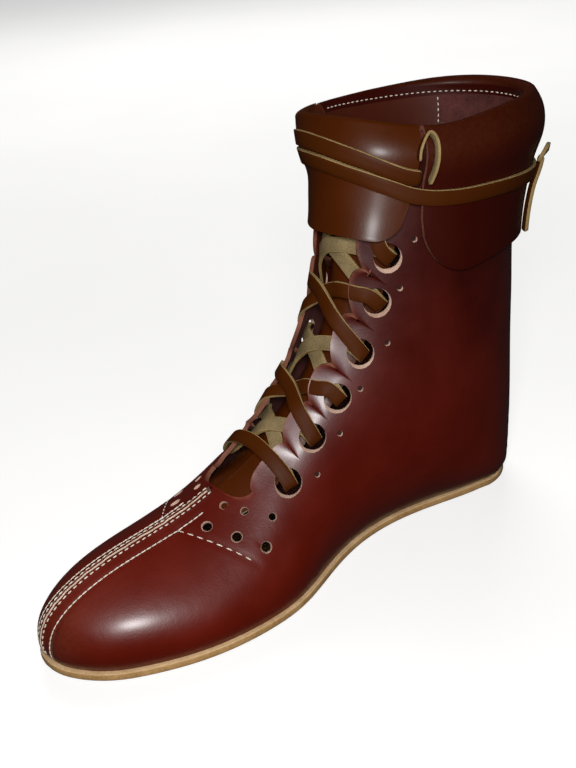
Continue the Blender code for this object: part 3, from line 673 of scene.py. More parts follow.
# %% Upper
UPPER_COLUMNS = 56
COLUMN_CROWDING = 1.5
LINING_SEAM_X = -133
LINING_LOW = 130
EDGE_WEAR = 0.7
EDGE_WEAR_WIDTH = 1.6
TOE_WEAR = 0.35
TOE_WEAR_ROW = 2.5
TOE_WEAR_DISTANCE = 12.0
TOE_WEAR_WIDTH = 14.0
COLLAR_WEAR = 0.5
COLLAR_WEAR_ROWS = 0.6
rows = upper_rows()
halves = []
for side in (-1, 1):
    def lay_half(u, v):
        s = np.interp(v, np.linspace(0, 1, len(rows)), rows)
        w = (u if side > 0 else 1 - u) ** COLUMN_CROWDING
        edge = np.abs(place_at(s, side * throat_edge(s)))
        t = side * (edge + (1 - edge) * w)
        distance = distance_at(s, t)
        at_edge = np.where(s > THROAT_ROW, hill(distance - throat_edge(s), EDGE_WEAR_WIDTH), 0)
        toe = hill(s - TOE_WEAR_ROW, TOE_WEAR_ROW) * hill(distance - TOE_WEAR_DISTANCE, TOE_WEAR_WIDTH)
        collar = hill(s - TOP, COLLAR_WEAR_ROWS)
        return skin(s, t), share(EDGE_WEAR * at_edge + TOE_WEAR * toe + COLLAR_WEAR * collar)

    halves.append(lay_grid("upper_half", UPPER_COLUMNS, len(rows) - 1, lay_half))

select_only(*halves)
bpy.ops.object.join()
upper = halves[0]
upper.name = upper.data.name = "boot_upper"
clothe(upper, oxblood_calf, boot_flesh, dyed_edge, boot_lining)
merge_points(upper)
thicken(upper, WALL)

# Inside, the leg's front part is lined with smooth leather up to a seam near the back
for polygon in upper.data.polygons:
    lined = polygon.center.x > LINING_SEAM_X * MM and polygon.center.z > LINING_LOW * MM
    if polygon.material_index == 1 and lined:
        polygon.material_index = 3
print("upper sheet points:", len(upper.data.vertices))

# %% [markdown]
# Lace holes and the vamp's little holes are punched after the wall is there, so each shows its pale cut edge.
# Turned cutters stand for the punches. Those of the lace and the vamp go right through, the leg's pricks
# stop in the leather. Each punch widens at the leather's face, which takes off the hole's sharp edge, and
# leans a little. Boolean cuts them all at once and gives the holes the punches' own materials.

# %% Punched holes
VAMP_HOLES = (
    (9.04, 12.7, 1.8), (9.35, 22.7, 1.8), (9.86, 35.3, 1.8),
    (8.45, 15.5, 2.4), (8.85, 29.5, 2.4), (9.33, 43.4, 2.5),
)
PRICKS = ((11.53, 40.2), (12.73, 38.6), (14.18, 38.0), (16.32, 45.3), (19.41, 47.5), (21.65, 49.4))
PRICK_RADIUS = 1.3
PRICK_DEPTH = 0.9
THROUGH = 6.0
PUNCH_LEAN = 0.10
PUNCH_CHAMFER = 0.5
PUNCH_CHAMFER_DEPTH = 0.7
FULL_CHAMFER_RADIUS = 2.6
PUNCH_RISE = 3.2

# Row, distance from the front line, radius, depth and number of sides of each punch
punch_list = [(tab.row, tab.hole, EYELET_RADIUS, THROUGH, 40) for tab in TABS]
punch_list += [(*hole, THROUGH, 20) for hole in VAMP_HOLES]
punch_list += [(*prick, PRICK_RADIUS, PRICK_DEPTH, 16) for prick in PRICKS]


def add_punch(sides, profile, place, way):
    """Closed cutter turned round a line out of the leather; profile holds its radii and heights."""
    across = np.array(Vector(way).orthogonal().normalized())
    other = np.cross(way, across)
    levels = len(profile) - 1

    def lay_punch(u, v):
        radius, height = np.array(profile)[np.round(v * levels).astype(int)].T * MM
        turn = across * np.cos(2 * np.pi * u)[:, None] + other * np.sin(2 * np.pi * u)[:, None]
        return place + turn * radius[:, None] + way * height[:, None], 0.0

    punch = lay_grid("punch", sides, levels, lay_punch)
    # Pale cut edge on the walls; the cap carries painted shade, which darkens the bottom of each prick
    clothe(punch, cut_edge, painted_hole_shade)
    punch.data.polygons.foreach_set("material_index", np.repeat((1, 0, 0, 0), sides))
    merge_points(punch, 0.001 * MM)
    return punch


punches = []
for s, distance, radius, depth, sides in punch_list:
    for side in (-1, 1):
        row = np.array(s)
        t = place_at(row, np.array(side * distance))
        place = skin(row, t)
        away = unit(skin(row, t + side * 0.01) - place)
        down = unit(skin(row - 0.05, t) - place)
        way = unit(outward(row, t) + PUNCH_LEAN * (away + down))
        slope = PUNCH_CHAMFER * min(radius / FULL_CHAMFER_RADIUS, 1) / PUNCH_CHAMFER_DEPTH
        wide = radius + slope * (PUNCH_CHAMFER_DEPTH + PUNCH_RISE)
        radii = (0, radius, radius, wide, 0)
        profile = [*zip(radii, (-depth, -depth, -PUNCH_CHAMFER_DEPTH, PUNCH_RISE, PUNCH_RISE))]
        punches.append(add_punch(sides, profile, place, way))

select_only(*punches[::-1])
bpy.ops.object.join()
punch = punches[-1]
select_only(upper)
cut = upper.modifiers.new("punched", "BOOLEAN")
cut.operation = "DIFFERENCE"
cut.object = punch
cut.material_mode = "TRANSFER"
bpy.ops.object.modifier_apply(modifier=cut.name)
bpy.data.objects.remove(punch, do_unlink=True)
print("upper's faces after punching:", len(upper.data.polygons))
finish_piece(upper, ["upper"])

# %% [markdown]
# The sole is one thickness of tan leather, cut a little outside the upper's lower edge.
# A circle is moved to that outline, filled, extruded upwards and bevelled. The insole is made the same way.

# %% Sole and insole
SOLE_THICKNESS = 4.0
SOLE_LEDGE = 2.2
INSOLE_INSET = 4.0
INSOLE_THICKNESS = 2.0
OUTLINE_STEPS = 110
SOLE_BEVEL = 0.9
INSOLE_BEVEL = 0.4
TOP_FACE = 0.3


def make_slab(name, inset, low, high, bevel, materials):
    """Flat piece of the upper's lower outline, moved inwards; its last material is on top."""
    steps = np.linspace(0, HEEL_ROW, OUTLINE_STEPS + 1)
    ring = np.concatenate((layer(steps, 1, inset), layer(steps[1:-1], -1, inset)[::-1]))
    ring[:, 2] = low * MM
    select_only()
    bpy.ops.mesh.primitive_circle_add(vertices=len(ring), fill_type="NGON")
    slab = bpy.context.object
    slab.name = slab.data.name = name
    slab.data.vertices.foreach_set("co", ring.ravel())
    bpy.ops.object.mode_set(mode="EDIT")
    bpy.ops.mesh.select_all(action="SELECT")
    bpy.ops.mesh.extrude_region_move(TRANSFORM_OT_translate={"value": (0, 0, (high - low) * MM)})
    bpy.ops.mesh.select_all(action="SELECT")
    bpy.ops.mesh.normals_make_consistent(inside=False)
    bpy.ops.object.mode_set(mode="OBJECT")
    soft = slab.modifiers.new("soft_edges", "BEVEL")
    soft.width = bevel * MM
    soft.segments = 3
    soft.limit_method = "ANGLE"
    bpy.ops.object.modifier_apply(modifier=soft.name)
    clothe(slab, *materials)
    # Faces looking up take the last material; on the sole it is paler, painted light on its top face
    for polygon in slab.data.polygons:
        polygon.material_index = int(polygon.normal.z > TOP_FACE) * (len(materials) - 1)
    return slab


sole = make_slab("tan_sole", -SOLE_LEDGE, 0.0, SOLE_THICKNESS, SOLE_BEVEL, (sole_tan, sole_top_painted_lit))
finish_piece(sole, ["outsole"])
insole_top = FEATHER + INSOLE_THICKNESS
insole = make_slab("tan_insole", INSOLE_INSET, FEATHER, insole_top, INSOLE_BEVEL, (insole_tan,))
finish_piece(insole, ["insole"])

# %% [markdown]
# The two halves of the vamp meet in a raised seam. Its raw edges stand up side by side as two cream lines
# with a dark groove between them. A narrow grid has two small ridges across its width, and follows the
# front line down to the toe; its middle columns take the upper's red.

# %% Vamp seam
SEAM_HALF = 1.0
SEAM_COLUMNS = 16
SEAM_STEPS = 220
SEAM_RISE = 0.9
SEAM_SINK = 0.25
SEAM_WALL = 0.5
SEAM_START = 0.3
SEAM_END = 9.12
SEAM_WAVES = ((0.12, 71, 0), (0.08, 173, 1))
GROOVE_DEPTH = 0.75
GROOVE_WIDTH = 0.34
GROOVE_COLUMNS = 6


def lay_seam(u, v):
    s = SEAM_START + (SEAM_END - SEAM_START) * v
    x = 2 * u - 1
    wave = sum(size * np.sin(v * pace + start) for size, pace, start in SEAM_WAVES)
    t = place_at(s, SEAM_HALF * x + wave)
    ridge = np.sqrt(share(1 - x ** 2)) - GROOVE_DEPTH * hill(x, GROOVE_WIDTH)
    ends = share(np.minimum(v, 1 - v) * 60)
    return skin(s, t) + outward(s, t) * ((SEAM_RISE * ridge * ends - SEAM_SINK) * MM)[..., None], 0.0


seam = lay_grid("vamp_seam_edges", SEAM_COLUMNS, SEAM_STEPS, lay_seam)
clothe(seam, seam_cream, oxblood_calf, seam_cream, seam_cream)
in_groove = np.abs(np.arange(SEAM_COLUMNS) - (SEAM_COLUMNS - 1) / 2) < GROOVE_COLUMNS / 2
seam.data.polygons.foreach_set("material_index", np.tile(in_groove.astype(int), SEAM_STEPS))
thicken(seam, SEAM_WALL)
finish_piece(seam, ["vamp_seam"], angle=60)

# %% [markdown]
# The tongue runs from under the vamp up behind the lacing, turns over the collar and hangs in front as a
# flap. It is one grid: each column climbs inside, rolls over the edge on an arc and comes down outside.

# %% Tongue
LACE_GAP = 1.2
CURVED_GAP = 0.8
THONG_THICKNESS = 2.0
TONGUE_THICKNESS = 2.0
FLAP_DEPTH = 52.5
FLAP_CORNER = 16.0
FLAP_KICK = 4.0
FLAP_KICK_START = 28.0
FLAP_KICK_LENGTH = 24.0
FLAP_SWELL = 0.5
FLAP_SWELL_DEPTH = 34.0
FLAP_SWELL_WIDTH = 10.0
TONGUE_HALF = ((8.6, 17.0), (9.8, 24.0), (12.0, 26.0), (15.0, 33.0), (18.0, 40.0), (21.0, 42.0), (26.0, 43.0))
HANG_OFF = ((0.0, 3.0), (8.0, 4.2), (16.0, 4.4), (30.0, 2.7), (42.0, 2.3), (80.0, 2.3))
FLAP_SIDE = ((0.0, 0.298), (14.0, 0.290), (30.0, 0.275), (44.0, 0.260), (56.0, 0.254))
TONGUE_CLOSE = WALL + LACE_GAP
TONGUE_UNDER_LACE = TONGUE_CLOSE + THONG_THICKNESS + CURVED_GAP
TONGUE_AT_RIM = 0.3
TONGUE_SINK = (
    (9.18, TONGUE_CLOSE), (10.4, TONGUE_UNDER_LACE), (21.8, TONGUE_UNDER_LACE), (24.2, TONGUE_CLOSE),
    (25.8, TONGUE_AT_RIM),
)
ROLL_FLATNESS = 0.7
ROLL_START = TOP - 0.25
TONGUE_GRID = (48, 150)
TONGUE_CLIMB = 0.52
TONGUE_TURN_END = 0.60


def rounded(depth, distance, radius):
    """Depth of a hem whose corner is an arc, at a distance from the piece's side."""
    inward = np.clip(radius - distance, 0, radius)
    return depth - radius + np.sqrt(radius ** 2 - inward ** 2)


def over_rim(t, inside, outside, turn):
    """Points on an arc over the collar's edge; turn runs from 0 inside to 1 outside."""
    rise = unit(surface(TOP, t) - surface(TOP - 0.2, t))
    angle = np.pi * (1 - turn)
    middle, radius = (outside - inside) / 2, (outside + inside) / 2
    off = (middle + radius * np.cos(angle)) * MM
    up = ROLL_FLATNESS * radius * np.sin(angle) * MM
    return surface(TOP, t) + outward(TOP, t) * off[..., None] + rise * up[..., None]


def rim_reach(t, edge):
    """Distance in millimetres between two places on the collar's edge."""
    return np.linalg.norm(surface(TOP, t) - surface(TOP, edge), axis=-1) / MM


def lay_tongue(u, v):
    w = 2 * u - 1
    s = np.interp(v, (0, TONGUE_CLIMB), (TONGUE_HALF[0][0], ROLL_START))
    t = place_at(s, w * curve_table(TONGUE_HALF, s))
    inside = layer(s, t, curve_table(TONGUE_SINK, s))
    side = FLAP_SIDE[0][1]
    turn = share((v - TONGUE_CLIMB) / (TONGUE_TURN_END - TONGUE_CLIMB))
    roll = over_rim(w * side, TONGUE_AT_RIM, HANG_OFF[0][1], turn)
    hem = rounded(FLAP_DEPTH, rim_reach(w * side, np.sign(w + 1e-9) * side), FLAP_CORNER)
    down = share((v - TONGUE_TURN_END) / (1 - TONGUE_TURN_END)) * hem
    kick = FLAP_KICK * share((down - FLAP_KICK_START) / FLAP_KICK_LENGTH) ** 2 * hill(w - 0.6, 0.6)
    bulge = FLAP_SWELL * hill(down - FLAP_SWELL_DEPTH, FLAP_SWELL_WIDTH) + kick
    outside = hang(w * curve_table(FLAP_SIDE, down), down, curve_table(HANG_OFF, down) + bulge)
    points = np.where((v <= TONGUE_CLIMB)[..., None], inside, roll)
    return np.where((v >= TONGUE_TURN_END)[..., None], outside, points), 0.0


tongue = lay_grid("tongue_and_flap", *TONGUE_GRID, lay_tongue)
clothe(tongue, tongue_calf, tongue_calf, cut_edge)
thicken(tongue, TONGUE_THICKNESS)
finish_piece(tongue, ["tongue"])

# %% [markdown]
# The collar's leather is turned down outside as a cuff, open at the front, with rounded lower corners.
# The grid starts at the hem, climbs the outside, folds softly over the rim and ends a little way inside.

# %% Cuff
CUFF_THICKNESS = 2.2
CUFF_DEPTH = 70.5
CUFF_CORNER = 30.0
CUFF_FRONT = 0.312
CUFF_INSIDE = 6.5
CUFF_LINING = WALL + 0.15
CUFF_GRID = (200, 90)
RIM_WEAR = 1.6
RIM_WEAR_WIDTH = 13.0
CUFF_CLIMB = 0.78
CUFF_TURN_END = 0.9


def lay_cuff(u, v):
    way = CUFF_FRONT + (2 - 2 * CUFF_FRONT) * u
    t = np.where(way <= 1, way, way - 2)
    hem = rounded(CUFF_DEPTH, rim_reach(t, np.where(t < 0, -CUFF_FRONT, CUFF_FRONT)), CUFF_CORNER)
    down = share(1 - v / CUFF_CLIMB) * hem
    outside = hang(t, down, curve_table(HANG_OFF, down) + CUFF_THICKNESS)
    turn = share((v - CUFF_CLIMB) / (CUFF_TURN_END - CUFF_CLIMB))
    roll = over_rim(t, CUFF_LINING, HANG_OFF[0][1] + CUFF_THICKNESS, 1 - turn)
    under = share((v - CUFF_TURN_END) / (1 - CUFF_TURN_END)) * CUFF_INSIDE
    inside = layer(row_at(t, under), t, CUFF_LINING)
    points = np.where((v <= CUFF_CLIMB)[..., None], outside, roll)
    points = np.where((v >= CUFF_TURN_END)[..., None], inside, points)
    return points, share(RIM_WEAR * hill(down, RIM_WEAR_WIDTH) * (v < CUFF_TURN_END))


cuff = lay_grid("turned_cuff", *CUFF_GRID, lay_cuff)
clothe(cuff, cuff_calf, boot_flesh, dyed_edge)
thicken(cuff, CUFF_THICKNESS)
finish_piece(cuff, ["cuff"])

# %% [markdown]
# Laces and ties are flat thongs cut from one hide: a dry brown face, an olive flesh side, pale cut edges.
# A thong is a grid rolled into a flat tube along its path, turned so that its face looks the given way.

# %% Thongs
# Places round a thong's section, as parts of half its width and half its thickness
THONG_SECTION = np.array((
    (0.90, 0.95), (0.30, 1.0), (-0.30, 1.0), (-0.90, 0.95), (-1.0, 0.70), (-1.0, -0.70),
    (-0.90, -0.95), (-0.30, -1.0), (0.30, -1.0), (0.90, -0.95), (1.0, -0.70), (1.0, 0.70), (0.90, 0.95),
))
THONG_SIDES = np.array((0, 0, 0, 0, 2, 2, 1, 1, 1, 2, 2, 2))
GRAIN_OUT = (thong_grain, thong_flesh, thong_edge)
FLESH_OUT = (thong_flesh, thong_grain, thong_edge)
THONG_TIP = (0.05, 0.8)


def even_path(points, step):
    """Points of a smooth line read at even distances."""
    points = np.asarray(points)
    fine = spline(points, second_derivatives(points), np.linspace(0, len(points) - 1, 24 * len(points)))
    lengths = running_lengths(fine[:, :3])
    count = max(int(lengths[-1] / step), 8)
    at = np.linspace(0, lengths[-1], count + 1)
    return np.stack([np.interp(at, lengths, fine[:, k]) for k in range(fine.shape[1])], -1)


def make_thong(
    name, path, faces, width, thickness, nodes, materials=GRAIN_OUT, closed=False,
    sides=THONG_SIDES,
):
    """Flat thong along a path, its face turned along the given directions, with narrow ends unless closed."""
    count = len(path) - 1
    swell = np.ones(len(path))
    if closed:
        tangent = np.roll(path[:-1], -1, 0) - np.roll(path[:-1], 1, 0)
        tangent = unit(np.concatenate((tangent, tangent[:1])))
    else:
        tangent = unit(np.gradient(path, axis=0))
        swell[:2] = THONG_TIP
        swell[-2:] = THONG_TIP[::-1]
    across = unit(np.cross(faces, tangent))
    face = unit(np.cross(tangent, across))

    def lay_thong(u, v):
        i = np.round(v * count).astype(int)
        k = np.round(u * (len(THONG_SECTION) - 1)).astype(int)
        wide, high = THONG_SECTION[k].T * swell[i] / 2 * MM
        return path[i] + across[i] * (wide * width)[:, None] + face[i] * (high * thickness)[:, None], 0.0

    thong = lay_grid(name, len(THONG_SIDES), count, lay_thong)
    clothe(thong, *materials)
    thong.data.polygons.foreach_set("material_index", np.tile(sides, count))
    merge_points(thong)
    finish_piece(thong, nodes, angle=50)
    return thong


print("points round a thong:", len(THONG_SECTION) - 1)

# %% [markdown]
# The lace starts as a bar over the lowest pair of holes. Each end goes in, crosses behind the tabs to the
# next hole on the other side, comes out, crosses in front, and so on to the top pair, where it goes up under
# the flap. Where a thong turns in a hole its face turns too, so the flesh side shows wherever it runs behind.

# %% Lace
THONG_WIDTH = 7.5
LACE_OUT = 1.5
LACE_IN = -4.3
HOLE_OVERRUN = 2.6
CROSSING_LIFT = 2.2
BAR_MIDDLE = 0.4
LACE_OUT_MIDDLE = -4.4
LACE_IN_MIDDLE = -5.1
BAR_SHOULDER = 12.0
BAR_RISE = 1.7
BEFORE_HOLE = 4.5
AFTER_HOLE = 4.0
CROSSING_PARTS = (0.12, 0.3, 0.5, 0.7, 0.86)
CROSSING_SPREAD = 0.2
LACE_STEP = 1.0

# Steps of the hidden end past the top hole: rows up, distance in from the hole and height
HIDDEN_END = ((0.15, 4.0, 0.0), (1.0, 9.0, 0.2), (1.9, 14.0, 0.2))


def lace_strand(side, lift):
    """Places (row, distance, height, turn) of one half of the lace, from the bar's middle upwards."""
    row = TABS[0].row
    places = [(row, 0.0, BAR_MIDDLE, 0.0), (row, side * BAR_SHOULDER, BAR_MIDDLE + BAR_RISE, 0.0)]
    outside = True
    for tab, after in zip(TABS, [*TABS[1:], None]):
        start, end = (LACE_OUT, LACE_IN) if outside else (LACE_IN, LACE_OUT)
        places.append((tab.row, side * (tab.hole - BEFORE_HOLE), start, 0.0 if outside else 1.0))
        places.append((tab.row, side * (tab.hole + HOLE_OVERRUN), (start + end) / 2, 0.5))
        if after is None:
            for up, back, rise in HIDDEN_END:
                places.append((tab.row + up, side * (tab.hole - back), end + rise, 0.0))
            break
        outside = not outside
        face, level = (0.0, LACE_OUT_MIDDLE) if outside else (1.0, LACE_IN_MIDDLE)
        for part in CROSSING_PARTS:
            height = end + (level - end + lift * CROSSING_LIFT) * hill(part - 0.5, CROSSING_SPREAD)
            at = side * ((tab.hole - AFTER_HOLE) * (1 - part) - (after.hole - AFTER_HOLE) * part)
            places.append((tab.row + (after.row - tab.row) * part, at, height, face))
        side = -side
    return places


first = lace_strand(1, 0.0)
second = lace_strand(-1, 1.0)
row, distance, height, turn = np.array(second[:0:-1] + first).T
t = place_at(row, distance)
normal = outward(row, t)
away = unit(surface(row, t + 0.01) - surface(row, t - 0.01)) * np.sign(distance + 1e-9)[:, None]
angle = np.pi * turn[:, None]
places = surface(row, t) + normal * (height * MM)[:, None]
lace_line = even_path(np.hstack((places, np.cos(angle) * normal + np.sin(angle) * away)), LACE_STEP * MM)
lace_nodes = [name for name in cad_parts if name.startswith("lace_")]
make_thong(
    "flat_lace", lace_line[:, :3], lace_line[:, 3:], THONG_WIDTH, THONG_THICKNESS, lace_nodes,
)
print("lace length:", round(float(running_lengths(lace_line[:, :3])[-1]), 3))

# %% [markdown]
# A second thong is wound round the leg over cuff and flap. The lower turn goes all the way round,
# the upper turn comes from the outer side and stops short at the flap's inner edge. Each is laid on the
# cuff's face by its depth below the collar, and pressed a little into the flap where it pulls tight.

# %% Wrapped thong
LOWER_BAND = (
    (-1.00, 34.0), (-0.65, 28.0), (-0.30, 19.2), (-0.08, 14.4), (0.0, 14.2), (0.053, 15.6), (0.105, 17.4),
    (0.154, 19.3), (0.202, 22.0), (0.269, 25.6), (0.322, 26.8), (0.378, 27.6), (0.48, 29.8), (0.61, 32.4),
    (0.80, 34.2), (1.00, 34.0),
)
UPPER_BAND = (
    (-1.00, 22.0), (-0.65, 16.5), (-0.30, 8.4), (-0.08, 6.2), (0.009, 7.2), (0.068, 9.2), (0.121, 11.1),
    (0.169, 12.7), (0.216, 14.2), (0.265, 15.6), (0.32, 16.0),
)
BAND_GAP = 0.2
BAND_THICKNESS = 2.0
BAND_PRESS = 1.3
BAND_PRESS_PLACE = -0.2
BAND_PRESS_WIDTH = 0.25
BAND_SIDES = np.array((0, 0, 0, 0, 0, 0, 1, 1, 1, 2, 2, 2))
UPPER_BAND_START = -0.985
UPPER_BAND_END = 0.300


def on_cuff(t, depth, height):
    """Points at a height over the cuff's face, and the directions away from it; depths in millimetres."""
    off = curve_table(HANG_OFF, depth) + CUFF_THICKNESS + height
    return hang(t, depth, off), outward(row_at(t, depth), t)


def make_band(name, places, depths, nodes, closed):
    """Thong lying flat round the leg, its middle half a width below its top edge along the cuff's face."""
    height = BAND_GAP + BAND_THICKNESS / 2 - BAND_PRESS * hill(places - BAND_PRESS_PLACE, BAND_PRESS_WIDTH)
    top = curve_table(depths, places)
    reach = top[:, None] + np.linspace(0, 1.5 * THONG_WIDTH, 16)
    face = on_cuff(np.broadcast_to(places[:, None], reach.shape), reach, height[:, None])[0]
    lengths = running_lengths(face)
    parts = np.array((0.25, 0.5, 0.75)) * THONG_WIDTH * MM
    depth = np.array([np.interp(parts, *pair) for pair in zip(lengths, reach)])
    above, points, below = (on_cuff(places, depth[:, k], height)[0] for k in range(3))
    faces = unit(np.cross(np.gradient(points, axis=0), above - below))
    make_thong(name, points, faces, THONG_WIDTH, BAND_THICKNESS, nodes, closed=closed, sides=BAND_SIDES)


make_band("lower_turn", np.linspace(-1, 1, 361), LOWER_BAND, ["wrap_lower"], True)
make_band("upper_turn", np.linspace(UPPER_BAND_START, UPPER_BAND_END, 260), UPPER_BAND, ["wrap_upper"], False)

# %% [markdown]
# The thong's end stands up as a small loop beside the flap and is tucked behind the lower turn.
# At the back it is tied in a small knot, and its end hangs down the cuff. These stretches are free cords.
# A route is a list of places: place round the leg, depth and height over the cuff. Those of loop and knot
# repeat their solids' routes. The hanging end's is carried on up to the knot and lies closer to the cuff.

# %% Loop, knot and hanging end
LOOP_ROUTE = (
    (0.286, 12.6, 2.0), (0.286, 9.2, 3.2), (0.299, 5.2, 4.4), (0.313, 3.6, 4.8),
    (0.327, 6.8, 4.2), (0.328, 13.0, 3.0), (0.320, 23.6, 1.9),
)
KNOT_ROUTE = (
    (0.785, 32.0, 2.4), (0.776, 28.5, 3.6), (0.795, 25.0, 4.8), (0.816, 27.5, 4.6), (0.812, 31.8, 3.2),
)
TAIL_ROUTE = (
    (0.806, 30.0, 3.4), (0.806, 37.0, 3.6), (0.806, 44.0, 2.9),
    (0.806, 50.0, 2.5), (0.806, 56.5, 2.3), (0.804, 63.5, 2.1), (0.802, 72.0, 1.9),
)
LOOP_WIDTH = 4.4
LOOP_THICKNESS = 1.4
KNOT_WIDTH = 4.5
TAIL_WIDTH = 5.0
TAIL_TURN = math.radians(25)
FREE_STEP = 0.8


def free_route(rows):
    """Even line through a route's places, with the directions away from the cuff."""
    t, depth, height = np.array(rows).T
    points, normals = on_cuff(t, depth, height)
    line = even_path(np.hstack((points, normals)), FREE_STEP * MM)
    return line[:, :3], unit(line[:, 3:])


def cord_length(path):
    return float(running_lengths(path)[-1])


path, away = free_route(LOOP_ROUTE)
sideways = unit(np.cross(np.gradient(path, axis=0), away))
loop = make_thong("standing_loop", path, sideways, LOOP_WIDTH, LOOP_THICKNESS, ["thong_loop"], FLESH_OUT)
print("loop length:", round(cord_length(path), 4))

path, away = free_route(KNOT_ROUTE)
knot = make_thong("back_knot", path, away, KNOT_WIDTH, THONG_THICKNESS, ["thong_knot"], FLESH_OUT)
path, away = free_route(TAIL_ROUTE)
side_on = unit(np.cross(np.gradient(path, axis=0), away))
away = math.cos(TAIL_TURN) * away - math.sin(TAIL_TURN) * side_on
tail = make_thong("hanging_end", path, away, TAIL_WIDTH, THONG_THICKNESS, ["thong_tail"], FLESH_OUT)
print("hanging end length:", round(cord_length(path), 4))

# %% [markdown]
# White linen stitches hold the vamp: two rows close to the seam, two rows about 8 mm out, and one row across
# each side. Another row holds the cuff inside the rim, and one runs down the lining's seam. One stitch is a
# small stretched sphere. Its copies are laid end to end along each row and joined in one mesh.

# %% Stitches
STITCH_HALF_WIDTH = 0.34
STITCH_LIFT = 0.12
LINING_SEAM = -0.74
LINING_SEAM_END = 45.0
RIM_STITCH_BACK = 2.2
RIM_STITCH = (2.0, 1.2)
LINING_STITCH = (2.0, 1.0)
FRONT_GAP = 0.02
select_only()
bpy.ops.mesh.primitive_uv_sphere_add(segments=8, ring_count=5, radius=1)
thread = bpy.context.object
stitch_points = np.array([v.co for v in thread.data.vertices])
stitch_faces = [tuple(p.vertices) for p in thread.data.polygons]


def stitch_row(points, normals, length, gap):
    """Stitches along a line of points: their vertices, one block for each stitch."""
    lengths = running_lengths(points)
    half = length / 2 * MM
    line = np.hstack((points, normals))
    blocks = []
    for start in np.arange(0, lengths[-1] - length * MM, (length + gap) * MM):
        at = start + np.array((0, half, 2 * half))
        read = np.stack([np.interp(at, lengths, line[:, k]) for k in range(6)], -1)
        up = unit(read[1, 3:])
        along = unit(read[2, :3] - read[0, :3])
        side = np.cross(up, along)
        centre = (read[0, :3] + read[2, :3]) / 2 + up * STITCH_LIFT * MM
        scaled = stitch_points * (half, STITCH_HALF_WIDTH * MM, STITCH_HALF_WIDTH * MM)
        blocks.append(centre + scaled[:, :1] * along + scaled[:, 1:2] * side + scaled[:, 2:] * up)
    return blocks


def vamp_line(rows, distances, count=200):
    """Line on the upper's face through rows and signed distances in millimetres."""
    part = np.linspace(0, 1, count)
    key = np.linspace(0, 1, len(rows))
    s = np.interp(part, key, rows)
    t = place_at(s, np.interp(part, key, distances))
    return skin(s, t), outward(s, t)


# Rows and distances that each line goes through, length of a stitch and gap to the next
VAMP_STITCHES = (
    ((0.6, 9.05), (2.0, 2.3), 2.4, 0.9),
    ((0.6, OUTER_STITCH_END), (6.8, 8.2), 3.4, -0.35),
    (CROSS_ROWS[1:], CROSS_DISTANCES[1:], 3.6, 1.5),
)
stitches = []
for side in (-1, 1):
    for rows, distances, length, gap in VAMP_STITCHES:
        stitches += stitch_row(*vamp_line(rows, side * np.array(distances)), length, gap)

way = np.linspace(-0.97, 0.97, 400)
way = np.sort(np.where(way < 0, way + 2, way))
t = np.where(way <= 1, way, way - 2)
t = t[np.abs(t) > CUFF_FRONT + FRONT_GAP]
rim_rows = row_at(t, CUFF_INSIDE - RIM_STITCH_BACK)
stitches += stitch_row(layer(rim_rows, t, CUFF_LINING), -outward(rim_rows, t), *RIM_STITCH)

seam_rows = row_at(LINING_SEAM, np.linspace(CUFF_INSIDE + 1, LINING_SEAM_END, 80))
seam_line = layer(seam_rows, LINING_SEAM, WALL)
stitches += stitch_row(seam_line, -outward(seam_rows, LINING_SEAM), *LINING_STITCH)

size = len(stitch_points)
faces = [tuple(v + size * k for v in face) for k in range(len(stitches)) for face in stitch_faces]
thread.data.clear_geometry()
thread.data.from_pydata(np.concatenate(stitches).tolist(), [], faces)
thread.name = thread.data.name = "linen_stitches"
clothe(thread, linen_thread)
finish_piece(thread, [], angle=80)
print("stitches:", len(stitches))

# %% [markdown]
# The boot stands on a plain pale floor that sweeps up far away on all sides, like a paper roll in a studio.
# A plane would end in a dark horizon in other views, so a circle's rim is extruded upwards in a round sweep.
# The floor glows a little, and it is kept out of reflections, because it would veil the dark leather.

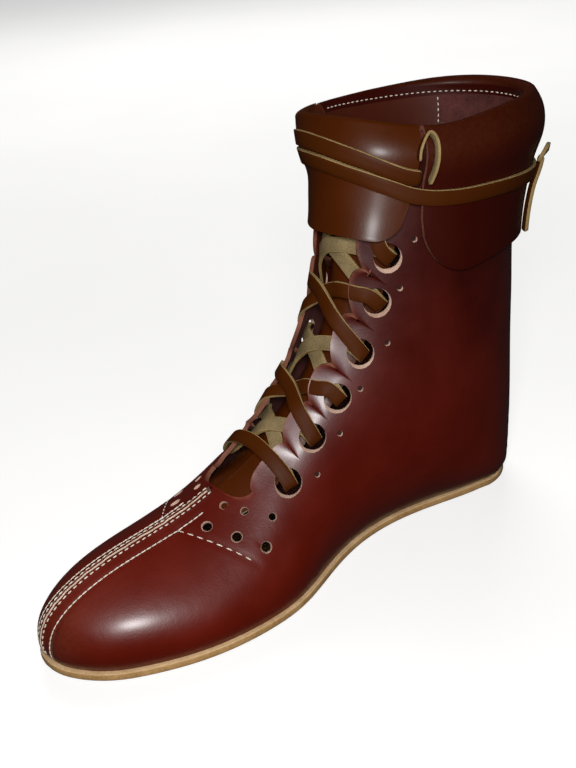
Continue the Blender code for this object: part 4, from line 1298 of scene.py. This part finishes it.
# %% Floor
FLOOR_RADIUS = 5.0
FLOOR_DROP = 0.0003
SWEEP_STEPS = 12
SWEEP_STEP = 0.5
SWEEP_TURN = math.radians(7.5)
select_only()
bpy.ops.mesh.primitive_circle_add(
    vertices=96, radius=FLOOR_RADIUS, fill_type="NGON", location=(0, 0, -FLOOR_DROP)
)
floor = bpy.context.object
floor.name = "pale_floor"
bpy.ops.object.transform_apply(location=True)
bpy.ops.object.mode_set(mode="EDIT")
bpy.ops.mesh.select_all(action="SELECT")
radius = FLOOR_RADIUS
for step in range(1, SWEEP_STEPS + 1):
    rise = SWEEP_STEP * math.sin(step * SWEEP_TURN)
    wider = 1 + SWEEP_STEP * math.cos(step * SWEEP_TURN) / radius
    bpy.ops.mesh.select_mode(type="EDGE")
    bpy.ops.mesh.region_to_loop()
    bpy.ops.mesh.extrude_edges_move(TRANSFORM_OT_translate={"value": (0, 0, rise)})
    bpy.ops.transform.resize(value=(wider, wider, 1), center_override=(0, 0, 0))
    bpy.ops.mesh.select_all(action="SELECT")
    radius *= wider
bpy.ops.object.mode_set(mode="OBJECT")
bpy.ops.object.shade_smooth_by_angle(angle=math.radians(30))

# Painted board: an even pale grey, with the faintest mottle
pale_board, shader, add = new_material("pale_board", 0.7)
place = add("TexCoord").outputs["Object"]
mottle = add("TexNoise", {"Vector": place, "Scale": 3.0, "Detail": 2.0})
tint = add("ValToRGB", {"Fac": mottle.outputs["Fac"]})
set_ramp(tint, (0.3, "#b4b3b1"), (0.7, "#bbbab8"))
feed(shader, {
    "Base Color": tint.outputs["Color"], "Emission Color": colour("#ffffff"), "Emission Strength": 0.62,
})
clothe(floor, pale_board)
floor.visible_glossy = False
floor.visible_diffuse = False
print("floor radius with its sweep:", round(radius, 2))

# %% [markdown]
# The photo was lit from beside the camera, so the main lamp hangs just above it, small enough for clear
# highlights. A wide lamp behind shows the far side in other views; it gives no mirror light, which would draw
# white lines on folds. The world adds a trace of light to the shadows.

# %% Lamps and world
LAMP_AIM = (0.0, 0.0, 0.08)


def add_lamp(name, place, size, power):
    """Soft square lamp that looks at the boot."""
    bpy.ops.object.light_add(type="AREA", location=place)
    lamp = bpy.context.object
    lamp.name = name
    lamp.data.size = size
    lamp.data.energy = power
    lamp.rotation_mode = "QUATERNION"
    lamp.rotation_quaternion = (Vector(LAMP_AIM) - Vector(place)).to_track_quat("-Z", "Y")
    return lamp


add_lamp("lamp_by_camera", place=(0.305, 0.44, 0.395), size=0.12, power=4.0)
behind = add_lamp("lamp_behind", place=(-1.0, -1.5, 1.6), size=1.6, power=34.0)
behind.visible_glossy = False

world = bpy.data.worlds.new("soft_room")
bpy.context.scene.world = world
world.use_nodes = True
feed(world.node_tree.nodes["Background"], {"Color": colour("#ffffff"), "Strength": 0.025})
bpy.context.scene.view_settings.view_transform = "Standard"
